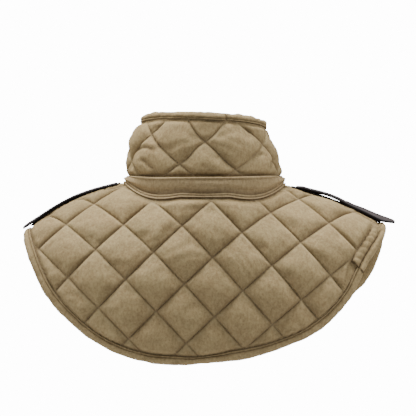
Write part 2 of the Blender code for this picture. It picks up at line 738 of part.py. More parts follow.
def build_hem(edge, material, collection):
    """Two strips along the cut edge, which meet at the join behind the right shoulder."""
    path = trimmed(trimmed(edge, BAND_REACH)[::-1], BAND_REACH)[::-1]
    behind_right = [i for i, p in enumerate(path) if p[1] > SHOULDER_SEAM and p[0] < 0]
    join = next(i for i in behind_right if path[i + 1][0] < BINDING_JOIN["x"])
    a, b = path[join], path[join + 1]
    t = (BINDING_JOIN["x"] - a[0]) / (b[0] - a[0])
    gap = BINDING_JOIN["gap"] / math.dist(a, b)
    end, start = (tuple(blend(p, q, t + share * gap) for p, q in zip(a, b)) for share in (-0.5, 0.5))
    strip("hem_binding_left", hem_rings(path[: join + 1] + [end]), material, collection)
    strip("hem_binding_right", hem_rings([start] + path[join + 1:]), material, collection)


def build_top_binding(edge, material, collection):
    """The strip over the stand's top edge and down both sides of its front slit."""
    rings = []
    for i, (u, z) in enumerate(edge):
        if z < band_top_z(stand_angle(u)) + 0.002:
            continue
        nu, nz = (-n for n in normal_2d(edge, i))

        def at(inward):
            place = (u - inward * nu, z - inward * nz)
            return stand_point(*place), stand_normal(*place)

        outward = at(-0.002)[0] - at(0.0)[0]
        rings.append(binding_ring(at, outward.normalized(), TOP_BINDING, TOP_BINDING["cover"]))
    strip("collar_top_binding", rings, material, collection)


# Shoulder straps
def ridge_frame(x):
    """The ridge's top line at x: a point of its outer face, and the directions along it and away from it."""
    step = 0.004
    ahead, behind = ridge_z(x + step), ridge_z(x - step)
    along = Vector((2 * step, 0.0, ahead - behind)).normalized()
    away = Vector((-along.z, 0.0, along.x))
    return Vector((x, 0.0, ridge_z(x))) + away * BASE["press"], along, away


def strap_layer(name, outline, holes, lift_at, thickness, material, collection):
    """A leather layer along the ridge, from an outline and holes drawn in x and y."""
    step = STRAP["step"]
    low, high = min(p[0] for p in outline), max(p[0] for p in outline)
    inner = []
    for i in range(1, int((high - low) / step)):
        for y in (-STRAP_ROW, 0.0, STRAP_ROW):
            point = (low + i * step, y)
            clear = all(distance_to(point, hole) > 0.002 and not inside(point, hole) for hole in holes)
            if clear and inside(point, outline) and distance_to(point, outline) > 0.003:
                inner.append(point)

    def place(x, y):
        lift, roll = lift_at(x)
        away = BASE["press"] + lift + thickness / 2
        return mantle_point(x, y) + mantle_normal(x, y) * away - Vector((0.0, 0.0, y * roll))

    return sheet(name, outline, inner, place, lambda x, y: thickness, material, collection, holes)


def ring_of(x, radius, sides=10):
    return [
        (x + radius * math.cos(2 * math.pi * k / sides), radius * math.sin(2 * math.pi * k / sides))
        for k in range(sides)
    ]


def strap_outline(start, end, width, tip_width, taper):
    """A strap's outline from its square root at x start to its tapered tip at x end."""
    sign = math.copysign(1.0, end - start)
    body_end = end - sign * taper
    count = max(2, round(abs(body_end - start) / STRAP["step"]))
    edge = [(blend(start, body_end, k / count), width / 2) for k in range(count + 1)]
    if taper:
        edge += [(blend(body_end, end, 0.5), blend(width, tip_width, 0.42) / 2), (end, tip_width / 2)]
    across = [(start, y) for y in (-STRAP_ROW, 0.0, STRAP_ROW)]
    tip = [(end, 0.0)] if taper else [(end, y) for y in (STRAP_ROW, 0.0, -STRAP_ROW)]
    loop = across + edge + tip + [(x, -y) for x, y in reversed(edge)]
    return loop if sign < 0 else loop[::-1]


def build_straps(leather, metal, collection):
    for side, sign in (("left", 1.0), ("right", -1.0)):
        base_start, base_end = (sign * x for x in STRAP_BASES[side])
        rows = STRAP_LIFTS[side]
        start, end = sign * rows[0]["x"], sign * rows[-1]["x"]
        post_x = sign * STRAP_POSTS[side]
        post_hole = ring_of(post_x, POST["hole"])
        base_outline = strap_outline(base_start, base_end, BASE["width"], BASE["width"], 0.0)
        strap_layer(
            f"strap_base_{side}", base_outline, [post_hole], lambda x: (CLEARANCE, 0.0),
            BASE["thickness"], leather, collection,
        )
        over_base = CLEARANCE + BASE["thickness"]

        def lift_at(x):
            lift = over_base + table_at(rows, "x", abs(x), "lift")
            return lift, table_at(rows, "x", abs(x), "roll")

        outline = strap_outline(start, end, STRAP["width"], STRAP["tip_width"], STRAP["taper"])
        holes = [post_hole] + [ring_of(sign * x, STRAP_HOLE, 8) for x in STRAP_HOLES[side]]
        strap_layer(f"strap_{side}", outline, holes, lift_at, STRAP["thickness"], leather, collection)
        build_post(f"strap_post_{side}", post_x, lift_at(post_x)[0] + STRAP["thickness"], metal, collection)


def build_post(name, x, height, material, collection):
    """A turned post through both layers: a shank, and a flat head that rests on the strap."""
    point, along, away = ridge_frame(x)
    head_low = height + CLEARANCE
    head_top = head_low + POST["head_thickness"]
    profile = [(0.0, head_top), (POST["head"] * 0.8, head_top), (POST["head"], head_low + 0.0003)]
    profile += [(POST["head"], head_low), (POST["shank"], head_low), (POST["shank"], CLEARANCE), (0.0, CLEARANCE)]
    mesh = bpy.data.meshes.new(name)
    mesh.from_pydata([(r, 0.0, z) for r, z in profile], [(i, i + 1) for i in range(len(profile) - 1)], [])
    mesh.materials.append(material)
    obj = bpy.data.objects.new(name, mesh)
    collection.objects.link(obj)
    turn = obj.modifiers.new("Turn", "SCREW")
    turn.steps = POST["steps"]
    turn.render_steps = POST["steps"]
    turn.use_merge_vertices = True
    turn.merge_threshold = 0.00001
    obj.location = point
    obj.rotation_euler = (0.0, -math.atan2(along.z, along.x), 0.0)


def build_clasp(material, collection):
    """A plain leather tab across the front slit, on the band."""
    middle = -math.pi / 2
    half = CLASP["width"] / 2 / STAND_SECTIONS[1]["front"]
    z_low = BAND_TOP["front"] + 0.006
    corner = CLASP["corner"]
    count = 8
    flat = [(-CLASP["width"] / 2 + corner, 0.0), (CLASP["width"] / 2 - corner, 0.0)]
    flat += [(CLASP["width"] / 2, corner), (CLASP["width"] / 2, CLASP["height"] - corner)]
    flat += [(-p[0], CLASP["height"] - p[1]) for p in flat]
    outline = spaced(flat + flat[:1], CLASP["width"] / count)[:-1]
    inner = [
        (blend(-0.8, 0.8, i / 6) * CLASP["width"] / 2, CLASP["height"] * v)
        for i in range(7) for v in (0.33, 0.67)
    ]

    def place(u, v):
        angle = middle + u / (CLASP["width"] / 2) * half
        away = STAND_PUFF / 2 - STAND_INSET - CLASP["settle"] + CLASP["thickness"] / 2
        x, y = stand_plan(angle, z_low + v, -away)
        return Vector((x, y, z_low + v))

    sheet("front_clasp", outline, inner, place, lambda u, v: CLASP["thickness"], material, collection)


def main():
    for obj in list(bpy.data.objects):
        bpy.data.objects.remove(obj, do_unlink=True)
    collection = bpy.data.collections.new(OBJECT_NAME)
    bpy.context.scene.collection.children.link(collection)
    quilted = make_material("quilted_cloth", 0.95)
    binding = make_material("binding_cloth", 0.95)
    band = make_material("band_cloth", 0.95)
    leather = make_material("strap_leather", 0.55)
    metal = make_material("post_metal", 0.45, 1.0)
    edge = mantle_edge()
    free_edge = stand_edge()
    build_mantle(edge, quilted, collection)
    build_stand(free_edge, quilted, collection)
    build_band(band, collection)
    build_hem(edge, binding, collection)
    build_top_binding(free_edge, binding, collection)
    build_straps(leather, metal, collection)
    build_clasp(leather, collection)


main()
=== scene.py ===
import math

import bmesh
import bpy
import numpy as np
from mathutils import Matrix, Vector


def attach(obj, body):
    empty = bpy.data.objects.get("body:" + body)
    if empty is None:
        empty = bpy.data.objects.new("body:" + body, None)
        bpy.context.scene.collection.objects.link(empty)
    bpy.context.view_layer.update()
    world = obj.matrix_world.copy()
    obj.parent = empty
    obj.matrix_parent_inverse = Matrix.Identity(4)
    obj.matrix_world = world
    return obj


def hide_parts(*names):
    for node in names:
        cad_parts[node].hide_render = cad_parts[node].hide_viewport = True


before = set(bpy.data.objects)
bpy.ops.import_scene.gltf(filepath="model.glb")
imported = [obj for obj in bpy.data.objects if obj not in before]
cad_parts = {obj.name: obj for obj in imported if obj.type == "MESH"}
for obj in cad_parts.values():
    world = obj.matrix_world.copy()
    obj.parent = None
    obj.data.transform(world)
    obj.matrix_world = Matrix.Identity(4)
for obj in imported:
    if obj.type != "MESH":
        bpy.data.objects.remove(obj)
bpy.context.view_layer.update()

# Metres. +X is the collar's left, +Y its back, +Z up, as in the solids.
ridgeForm = {"crown": 0.0018, "neckRise": 0.062, "neckSpread": 0.058,
             "leftFall": 5.45, "leftPower": 3.0, "rightFall": 2.00, "rightPower": 2.4}
backForm = {"depth": 0.1160, "low": -0.150, "lowRise": 0.30, "handle": 0.034, "drop": 0.120, "lean": 0.9}
frontForm = {"depth": 0.1180, "low": -0.165, "lowRise": 0.50, "handle": 0.036, "drop": 0.085, "lean": 0.5}
hemForm = {"tipX": 0.2330, "tipLeft": -0.0720, "tipRight": -0.0640, "frontZ": -0.2050, "frontPower": 2.2}
hemBack = {"share": [0.0, 0.031, 0.084, 0.141, 0.198, 0.260, 0.331, 0.402, 0.472, 0.546, 0.606, 0.674, 0.739, 0.790,
                     0.853, 0.905, 0.938, 0.972, 1.0],
           "x": [0.2330, 0.2266, 0.2142, 0.1963, 0.1724, 0.1430, 0.1043, 0.0620, 0.0200, -0.0250, -0.0606, -0.0996,
                 -0.1355, -0.1606, -0.1854, -0.2000, -0.2118, -0.2258, -0.2330],
           "z": [-0.0720, -0.0900, -0.1195, -0.1492, -0.1740, -0.1975, -0.2165, -0.2265, -0.2300, -0.2250, -0.2182,
                 -0.2060, -0.1905, -0.1715, -0.1435, -0.1140, -0.0950, -0.0785, -0.0640]}
neckHalf = {"left": 0.0975, "right": 0.0965, "back": 0.0855, "front": 0.0900, "backPower": 1.82}
standZ = [-0.060, -0.010, 0.025, 0.055, 0.090]
standHalf = {"left": [0.1030, 0.1025, 0.1005, 0.0965, 0.0800], "right": [0.1020, 0.1010, 0.0970, 0.0875, 0.0745],
             "back": [0.0900, 0.0905, 0.0895, 0.0860, 0.0800], "front": [0.0960, 0.0925, 0.0885, 0.0840, 0.0780]}
standForm = {"side": 0.0815, "back": 0.0865, "front": 0.0520, "higherLeft": 0.0032, "inset": 0.0050,
             "radius": 0.088, "blend": 0.030, "slit": 0.052, "bandSlit": 0.014, "bandBack": 0.0090,
             "bandFront": -0.0180, "bandHigh": 0.0066, "bandFallFrom": 0.132, "bandFall": 0.036}
seamQ, frontSlit, edgeHalf = 0.018, 0.0046, 0.0022      # the shoulder seam, half the slit, half the edge's thickness
spanForm = {"half": 0.290, "power": 2.6, "neckHalf": 0.07, "steepFrom": 0.06, "curvePoints": 81, "skirtStep": 0.004,
            "skirtPoints": 40}
edgeForm = {"ridgeGap": 0.004, "slitCorner": 0.004, "points": 240, "step": 0.005, "rounds": 12}


def meshFrom(name, bm):
    mesh = bpy.data.meshes.new(name)
    bm.to_mesh(mesh)
    bm.free()
    return mesh


def addObject(name, data):
    obj = bpy.data.objects.new(name, data)
    bpy.context.scene.collection.objects.link(obj)
    return obj


# shared maths, on whole arrays at once
noiseCells = 97


def ease(t):
    t = np.clip(t, 0.0, 1.0)
    return t * t * (3 - 2 * t)


def mix(a, b, t):
    return a + (b - a) * t


def noise2(x, y, seed):     # smooth random values from -1 to 1, one bump to each unit square
    n = noiseCells
    grid = np.random.default_rng(seed).random((n, n)) * 2 - 1
    x, y = np.asarray(x, float), np.asarray(y, float)
    i, j = np.floor(x).astype(int), np.floor(y).astype(int)
    s, t = ease(x - i), ease(y - j)
    i0, i1, j0, j1 = i % n, (i + 1) % n, j % n, (j + 1) % n
    return mix(mix(grid[i0, j0], grid[i1, j0], s), mix(grid[i0, j1], grid[i1, j1], s), t)


def lengthAlong(path):
    return np.concatenate([[0], np.cumsum(np.linalg.norm(np.diff(path, axis=0), axis=1))])


def spaced(path, step):     # the same path with even steps
    path = np.asarray(path, float)
    along = lengthAlong(path)
    goal = np.linspace(0, along[-1], max(2, round(along[-1] / step)) + 1)
    return np.stack([np.interp(goal, along, path[:, k]) for k in range(path.shape[1])], axis=1)


def rounded(path, passes):
    path = np.array(path, float)
    for _ in range(passes):
        path[1:-1] = (path[:-2] + 2 * path[1:-1] + path[2:]) / 4
    return path


def nearestOn(points, path):     # the nearest place on the path to each point, and how far away it is
    a, d = path[:-1], np.diff(path, axis=0)
    best, where = np.full(len(points), 9.0), np.zeros((len(points), 2))
    size = np.maximum((d ** 2).sum(1), 1e-12)
    for start in range(0, len(points), 4000):
        p = points[start:start + 4000, None, :]
        t = np.clip(((p - a) * d).sum(2) / size, 0, 1)
        spot = a + t[..., None] * d
        far = np.linalg.norm(p - spot, axis=2)
        k = far.argmin(1)
        rows = np.arange(len(k))
        best[start:start + 4000] = far[rows, k]
        where[start:start + 4000] = spot[rows, k]
    return where, best


def insideOf(points, loop):
    hit = np.zeros(len(points), bool)
    x, y = points[:, 0], points[:, 1]
    for (x0, y0), (x1, y1) in zip(loop, np.roll(loop, -1, axis=0)):
        if y0 != y1:
            hit ^= ((y0 > y) != (y1 > y)) & (x < x0 + (y - y0) * (x1 - x0) / (y1 - y0))
    return hit


# the mantle's middle surface, as a table over x and the length q over the ridge
def ridgeHeight(x):
    fall = np.where(x >= 0, ridgeForm["leftFall"] * abs(x) ** ridgeForm["leftPower"],
                    ridgeForm["rightFall"] * abs(x) ** ridgeForm["rightPower"])
    return ridgeForm["crown"] + ridgeForm["neckRise"] * np.exp(-((x / ridgeForm["neckSpread"]) ** 2)) - fall


def sectionOf(x, form):
    depth = form["depth"] * (1 - min(0.97, abs(x) / spanForm["half"]) ** spanForm["power"])
    low = form["low"] + form["lowRise"] * x * x
    top = float(ridgeHeight(np.float64(x)))
    swell = 1 + 0.5 * math.exp(-((x / spanForm["neckHalf"]) ** 2))
    handle = form["handle"] * swell * min(1.0, depth / spanForm["steepFrom"])
    drop = min(form["drop"], 0.6 * (top - low))
    t = np.linspace(0, 1, spanForm["curvePoints"])
    w = np.stack([(1 - t) ** 3, 3 * t * (1 - t) ** 2, 3 * t * t * (1 - t), t ** 3])
    y = w.T @ np.array([0, handle, depth, depth])
    z = w.T @ np.array([top, top, low + drop, low])
    down = np.arange(1, spanForm["skirtPoints"] + 1) * spanForm["skirtStep"]
    y = np.concatenate([y, depth - form["lean"] * down * down])
    z = np.concatenate([z, low - down])
    along = np.concatenate([[0], np.cumsum(np.hypot(np.diff(y), np.diff(z)))])
    return y, z, along


tableStep, tableHalfX, tableHalfQ = 0.002, 0.262, 0.380
tableX = np.arange(-tableHalfX, tableHalfX + 0.0001, tableStep)
tableQ = np.arange(-tableHalfQ, tableHalfQ + 0.0001, tableStep)
mantleTable = np.zeros((len(tableX), len(tableQ), 2))
for i, x in enumerate(tableX):
    for form, sign in ((backForm, 1), (frontForm, -1)):
        y, z, along = sectionOf(x, form)
        part = tableQ * sign >= 0
        mantleTable[i, part, 0] = sign * np.interp(abs(tableQ[part]), along, y)
        mantleTable[i, part, 1] = np.interp(abs(tableQ[part]), along, z)


def cubicSample(table, fx, fy):     # smooth values between the entries of a table of points
    i = np.clip(np.floor(fx).astype(int), 1, table.shape[0] - 3)
    j = np.clip(np.floor(fy).astype(int), 1, table.shape[1] - 3)

    def weights(u):
        return [-0.5 * u + u * u - 0.5 * u ** 3, 1 - 2.5 * u * u + 1.5 * u ** 3,
                0.5 * u + 2 * u * u - 1.5 * u ** 3, -0.5 * u * u + 0.5 * u ** 3]

    ws, wt = weights(fx - i), weights(fy - j)
    return sum((ws[m] * wt[n])[..., None] * table[i + m - 1, j + n - 1] for m in range(4) for n in range(4))


def mantlePoint(x, q):
    yz = cubicSample(mantleTable, (x - tableX[0]) / tableStep, (q - tableQ[0]) / tableStep)
    return np.concatenate([x[..., None], yz], axis=-1)


def unit(v):
    return v / np.maximum(np.linalg.norm(v, axis=-1, keepdims=True), 1e-12)


def mantleNormal(x, q):
    e = 0.0015
    along = mantlePoint(x + e, q) - mantlePoint(x - e, q)
    over = mantlePoint(x, q + e) - mantlePoint(x, q - e)
    return unit(np.cross(along, over))


def neckPlan(angle):
    c, s = np.cos(angle), np.sin(angle)
    power = neckHalf["backPower"]
    shrink = np.where(s > 0, (abs(c) ** power + abs(s) ** power) ** (-1 / power), 1.0)
    return (np.where(c >= 0, neckHalf["left"], neckHalf["right"]) * c * shrink,
            np.where(s >= 0, neckHalf["back"], neckHalf["front"]) * s * shrink)


def lengthAtHeight(x, z, form):
    y, height, along = sectionOf(x, form)
    return float(np.interp(-z, -height, along))


neckAngles = np.linspace(0, 2 * math.pi, 361)
neckX, neckY = neckPlan(neckAngles)
neckQ = np.zeros(361)
for k in range(361):
    y, z, along = sectionOf(neckX[k], backForm if neckY[k] >= 0 else frontForm)
    curve = spanForm["curvePoints"]
    neckQ[k] = math.copysign(float(np.interp(abs(neckY[k]), y[:curve], along[:curve])), neckY[k])


def neckXq(angle):
    a = np.mod(angle, 2 * math.pi)
    return np.interp(a, neckAngles, neckX), np.interp(a, neckAngles, neckQ)


def hermite(keys, values, at):     # a smooth curve through the entries of a short table
    k, v = np.array(keys), np.array(values)
    slope = np.empty(len(k))
    slope[0], slope[-1] = (v[1] - v[0]) / (k[1] - k[0]), (v[-1] - v[-2]) / (k[-1] - k[-2])
    slope[1:-1] = (v[2:] - v[:-2]) / (k[2:] - k[:-2])
    at = np.clip(at, k[0], k[-1])
    i = np.clip(np.searchsorted(k, at) - 1, 0, len(k) - 2)
    h = k[i + 1] - k[i]
    t = (at - k[i]) / h
    a, b, rise = slope[i] * h, slope[i + 1] * h, v[i + 1] - v[i]
    return v[i] + a * t + (3 * rise - 2 * a - b) * t * t + (a + b - 2 * rise) * t ** 3


def hemXq(t):
    back = t <= 1.0
    if back:
        x, z = (float(hermite(hemBack["share"], hemBack[axis], t)) for axis in ("x", "z"))
    else:
        c, s = math.cos(math.pi * (2.0 - t)), math.sin(math.pi * (2.0 - t))
        tip = hemForm["tipLeft"] if c >= 0 else hemForm["tipRight"]
        x = hemForm["tipX"] * math.copysign(abs(c) ** (2 / hemForm["frontPower"]), c)
        z = tip + (hemForm["frontZ"] - tip) * s ** (2 / hemForm["frontPower"])
    z = min(z, float(ridgeHeight(np.float64(x))) - edgeForm["ridgeGap"])
    return x, (1 if back else -1) * lengthAtHeight(x, z, backForm if back else frontForm)


def mantleEdge():     # the cut edge as (x, q), from the slit's left side round the hem to its right side
    topQ = float(neckXq(1.5 * math.pi)[1])
    count, slit, corner = edgeForm["points"], frontSlit, edgeForm["slitCorner"]
    left = [hemXq(2.0 - k / count) for k in range(count // 2)][::-1]
    back = [hemXq(k / count) for k in range(count + 1)]
    right = [hemXq(1.0 + k / count) for k in range(1, count // 2)]
    left = [p for p in left if p[0] > slit + corner]
    right = [p for p in right if p[0] < -slit - corner]
    path = [(slit, topQ), (slit, left[0][1] + corner)] + left + back + right
    path += [(-slit, right[-1][1] + corner), (-slit, topQ)]
    return rounded(spaced(path, edgeForm["step"]), edgeForm["rounds"])


mantleEdgePath = mantleEdge()
print("mantle surface ready")


# the standing collar's middle surface, drawn flat as (u, z)
def standTop(angle):
    s = np.sin(angle)
    goal = np.where(s >= 0, standForm["back"], standForm["front"])
    return mix(standForm["side"], goal, ease(abs(s))) + standForm["higherLeft"] * np.cos(angle)


def bandTop(angle):
    return mix(standForm["bandBack"], standForm["bandFront"], ease(-np.sin(angle)))


baseX, baseQ = neckXq(neckAngles)
baseNormal = mantleNormal(baseX, baseQ)
basePoint = mantlePoint(baseX, baseQ)
outwardFlat = np.stack([np.cos(neckAngles), np.sin(neckAngles), 0 * neckAngles], axis=1)
bend = np.where((baseNormal * outwardFlat).sum(1) > 0, np.arccos(np.clip(baseNormal[:, 2], -1, 1)), 0)
turn = np.maximum(0.35, math.pi / 2 - bend)
baseZ = basePoint[:, 2] + edgeHalf * np.tan(turn / 2) + 0.0013 / np.sin(turn)


def standBase(angle):
    return np.interp(np.mod(angle, 2 * math.pi), neckAngles, baseZ)


def angleAt(u):
    return math.pi / 2 + u / standForm["radius"]


def standPoint(u, z):
    angle = angleAt(u)
    c, s = np.cos(angle), np.sin(angle)
    half = {side: hermite(standZ, standHalf[side], z) - standForm["inset"] for side in standHalf}
    halfX = np.where(c >= 0, half["left"], half["right"])
    halfY = np.where(s >= 0, half["back"], half["front"])
    seamX, seamY = neckPlan(angle)
    near = 1 - ease((z - standBase(angle)) / standForm["blend"])
    return np.stack([mix(halfX * c, seamX, near), mix(halfY * s, seamY, near), z + 0 * u], axis=-1)


def standNormal(u, z):
    e = 0.001
    along = standPoint(u + e, z) - standPoint(u - e, z)
    rise = standPoint(u, z + e) - standPoint(u, z - e)
    return unit(np.cross(along, rise))


def standEdge():
    half = (math.pi - standForm["slit"]) * standForm["radius"]
    us = np.linspace(-half, half, 120)
    foot = float(standBase(angleAt(half)))
    path = [(-half, foot)] + [(u, float(standTop(angleAt(u)))) for u in us] + [(half, foot)]
    return rounded(spaced(path, 0.0025), 10)


standEdgePath = standEdge()
print("stand surface ready")


# padded quilting: a fine net of cells laid along the stitched lines, so that each line is a clean valley
quiltForm = {"crowd": 0.62, "roundness": 0.56, "cellSpread": 0.10, "lump": 0.08, "lumpSize": 0.021,
             "foldTurn": [[0.92, 0.39], [-0.39, 0.92]], "foldLength": 0.034, "foldWidth": 0.011, "foldLevel": 0.3,
             "gatherPatch": 0.30, "gatherReach": 0.006, "lineShade": 0.0008, "softShade": 0.0038,
             "highlightAt": 0.0026, "highlightWidth": 0.0017, "highlightRun": 0.006, "highlightPatch": 0.008, "edgeAt": 0.0009,
             "edgeWidth": 0.0012, "fine": 30, "coarse": 10, "spareEdge": 0.01}
# each side of a puff: how dark the painted shade on its line, how dark the painted shade on the slope beside it, how
# much painted highlight; the lower sides take the shade and the upper sides the highlight, as from light above
quiltSides = {"low": (1.0, 0.70, 0.0), "lowRight": (0.62, 0.45, 0.0), "high": (0.7, 0.0, 0.6),
              "highLeft": (0.4, 0.0, 0.9)}


def pillow(share, skew):     # 0 on the stitched lines, 1 on the crown of a puff, which hangs a little low
    share = np.clip(share, 0, 1) ** skew
    x = np.clip(2 * np.minimum(share, 1 - share), 0, 1)
    return (1 - (1 - x) ** 2) ** quiltForm["roundness"]


def nearLine(share):
    return np.minimum(share, 1 - share)


def latticeGrid(low, count, steps, crowd):     # a grid over the lattice, crowded towards the stitching
    bm = bmesh.new()
    bmesh.ops.create_grid(bm, x_segments=count[0] * steps, y_segments=count[1] * steps, size=0.5)
    flat = (np.array([v.co[:2] for v in bm.verts]) + 0.5) * np.array(count)
    flat = np.rint(flat * steps) / steps
    flat -= crowd * np.sin(2 * math.pi * flat) / (2 * math.pi)
    return bm, low[0] + flat[:, 0], low[1] + flat[:, 1]


def keepOnly(bm, keep):     # the layer "at" holds each point's place in the arrays
    bm.verts.ensure_lookup_table()
    mark = bm.verts.layers.int.new("at")
    for k, vert in enumerate(bm.verts):
        vert[mark] = k
    bmesh.ops.delete(bm, geom=[vert for vert in bm.verts if not keep[vert[mark]]], context="VERTS")
    bmesh.ops.delete(bm, geom=[vert for vert in bm.verts if len(vert.link_faces) < 2], context="VERTS")
    return mark


settleForm = {"steps": 14, "frames": 20, "pressure": 6.0, "mass": 0.02, "stretch": 6.0, "bend": 0.8, "spare": -0.035,
             "cap": 0.0040, "ease": 2, "quality": 5, "thin": 2.45, "lineHalf": 0.2}


# blows the outer cloth up between its stitched lines, and gives how far each place on the lattice moved
def settleCloth(name, low, count, spotAt, place, stitch):
    steps = settleForm["steps"]
    bm, a, b = latticeGrid(low, count, steps, 0.0)
    spot, keep = spotAt(a, b)
    mark = keepOnly(bm, keep)
    at = np.array([vert[mark] for vert in bm.verts])
    rim = np.array([vert.is_boundary for vert in bm.verts])
    yes = np.ones(len(at), bool)
    start = place(a[at], b[at], spot[at], yes)[0]
    under = place(a[at], b[at], spot[at], ~yes)[0]
    for vert, point in zip(bm.verts, start):
        vert.co = point
    bm.normal_update()
    facing = np.array([vert.normal[:] for vert in bm.verts])
    if ((start - under) * facing).sum() < 0:
        bmesh.ops.reverse_faces(bm, faces=bm.faces)
    sheet = addObject(name, meshFrom(name, bm))
    line = np.minimum(nearLine(a[at] - np.floor(a[at])), nearLine(b[at] - np.floor(b[at])))
    thin = np.linalg.norm(start - under, axis=1) < settleForm["thin"] * stitch
    held = rim | thin | (line < settleForm["lineHalf"] / steps)
    pins = sheet.vertex_groups.new(name="stitched")
    pins.add([int(k) for k in np.where(held)[0]], 1.0, "REPLACE")
    cloth = sheet.modifiers.new("Cloth", "CLOTH")
    rules = cloth.settings
    rules.quality = settleForm["quality"]
    rules.mass = settleForm["mass"]
    rules.tension_stiffness = rules.compression_stiffness = settleForm["stretch"]
    rules.shear_stiffness = settleForm["stretch"] / 3
    rules.bending_stiffness = settleForm["bend"]
    rules.use_pressure = True
    rules.uniform_pressure_force = settleForm["pressure"]
    rules.shrink_min = settleForm["spare"]
    rules.vertex_group_mass = "stitched"
    rules.effector_weights.gravity = 0.0
    cloth.point_cache.frame_start, cloth.point_cache.frame_end = 1, settleForm["frames"]
    for frameNumber in range(1, settleForm["frames"] + 1):
        bpy.context.scene.frame_set(frameNumber)
    settled = sheet.evaluated_get(bpy.context.evaluated_depsgraph_get()).data
    end = np.zeros(len(at) * 3)
    settled.vertices.foreach_get("co", end)
    moved = end.reshape(-1, 3) - start
    far = np.linalg.norm(moved, axis=1, keepdims=True)
    moved *= np.minimum(1, settleForm["cap"] / np.maximum(far, 1e-9)) * ~held[:, None]
    field = np.zeros((count[0] * steps + 1, count[1] * steps + 1, 3))
    i = np.rint((a[at] - low[0]) * steps).astype(int)
    j = np.rint((b[at] - low[1]) * steps).astype(int)
    field[i, j] = moved
    free = np.zeros(field.shape[:2] + (1,))
    free[i, j, 0] = ~held
    for _ in range(settleForm["ease"]):      # takes the sharpest small creases out
        around = sum(np.roll(field, way, axis) for axis in (0, 1) for way in (1, -1)) / 4
        field = mix(field, around, 0.5) * free
    bpy.data.objects.remove(sheet)
    bpy.context.scene.frame_set(1)
    print(name, "settled:", len(at), "points, moved up to", round(float(far.max()) * 1000, 1), "mm")
    return lambda a, b: cubicSample(field, (a - low[0]) * steps, (b - low[1]) * steps)


# lays the net, trims it to the outline and closes it with a lining; place gives outer and inner points
def quiltNet(name, pitch, origin, bounds, toSheet, outline, place, stitch):
    steps = quiltForm["fine"]
    (uLow, vLow), (uHigh, vHigh) = bounds
    corners = [(u, v) for u in (uLow, uHigh) for v in (vLow, vHigh)]
    a = [(u - origin[0]) / pitch[0] + (v - origin[1]) / pitch[1] for u, v in corners]
    b = [(u - origin[0]) / pitch[0] - (v - origin[1]) / pitch[1] for u, v in corners]
    low = (math.floor(min(a)), math.floor(min(b)))
    count = (math.ceil(max(a)) - low[0], math.ceil(max(b)) - low[1])

    def spotAt(a, b):
        u = origin[0] + (a + b) / 2 * pitch[0]
        v = origin[1] + (a - b) / 2 * pitch[1]
        spot = np.stack(toSheet(u, v), axis=1)
        spare = quiltForm["spareEdge"]
        keep = (u > uLow - spare) & (u < uHigh + spare) & (v > vLow - spare) & (v < vHigh + spare)
        keep[keep] = insideOf(spot[keep], outline)
        return spot, keep

    settled = settleCloth(name + "Sheet", low, count, spotAt, place, stitch)
    bm, a, b = latticeGrid(low, count, steps, quiltForm["crowd"])
    spot, keep = spotAt(a, b)
    mark = keepOnly(bm, keep)
    rim = np.array([vert[mark] for vert in bm.verts if vert.is_boundary])
    closed = np.concatenate([outline, outline[:1]])
    spot[rim] = nearestOn(spot[rim], closed)[0]
    made = bmesh.ops.extrude_face_region(bm, geom=bm.faces[:], use_keep_orig=True)
    shell = {vert for vert in made["geom"] if isinstance(vert, bmesh.types.BMVert)}
    source = np.array([vert[mark] for vert in bm.verts])
    isOuter = np.array([vert in shell for vert in bm.verts])
    mesh = meshFrom(name, bm)
    a, b, spot = a[source], b[source], spot[source]
    points, shade, paintedHighlight = place(a, b, spot, isOuter)
    if settled:
        points += settled(a, b) * isOuter[:, None]
    mesh.vertices.foreach_set("co", points.astype(np.float32).ravel())
    loops = np.zeros(len(mesh.loops), int)
    mesh.loops.foreach_get("vertex_index", loops)
    layer = mesh.uv_layers.new(name="quilt")
    layer.data.foreach_set("uv", np.stack([a, b], axis=1)[loops].astype(np.float32).ravel())
    for attribute, values in (("hollow", shade), ("paintedHighlight", paintedHighlight)):
        mesh.attributes.new(attribute, "FLOAT", "POINT").data.foreach_set("value", values.astype(np.float32))
    return finishMesh(name, mesh)


def finishMesh(name, mesh, sharp=60):
    bm = bmesh.new()
    bm.from_mesh(mesh)
    bmesh.ops.recalc_face_normals(bm, faces=bm.faces)
    if bm.calc_volume(signed=True) < 0:
        bmesh.ops.reverse_faces(bm, faces=bm.faces)
    bm.to_mesh(mesh)
    bm.free()
    mesh.shade_smooth()
    mesh.set_sharp_from_angle(angle=math.radians(sharp))
    return addObject(name, mesh)
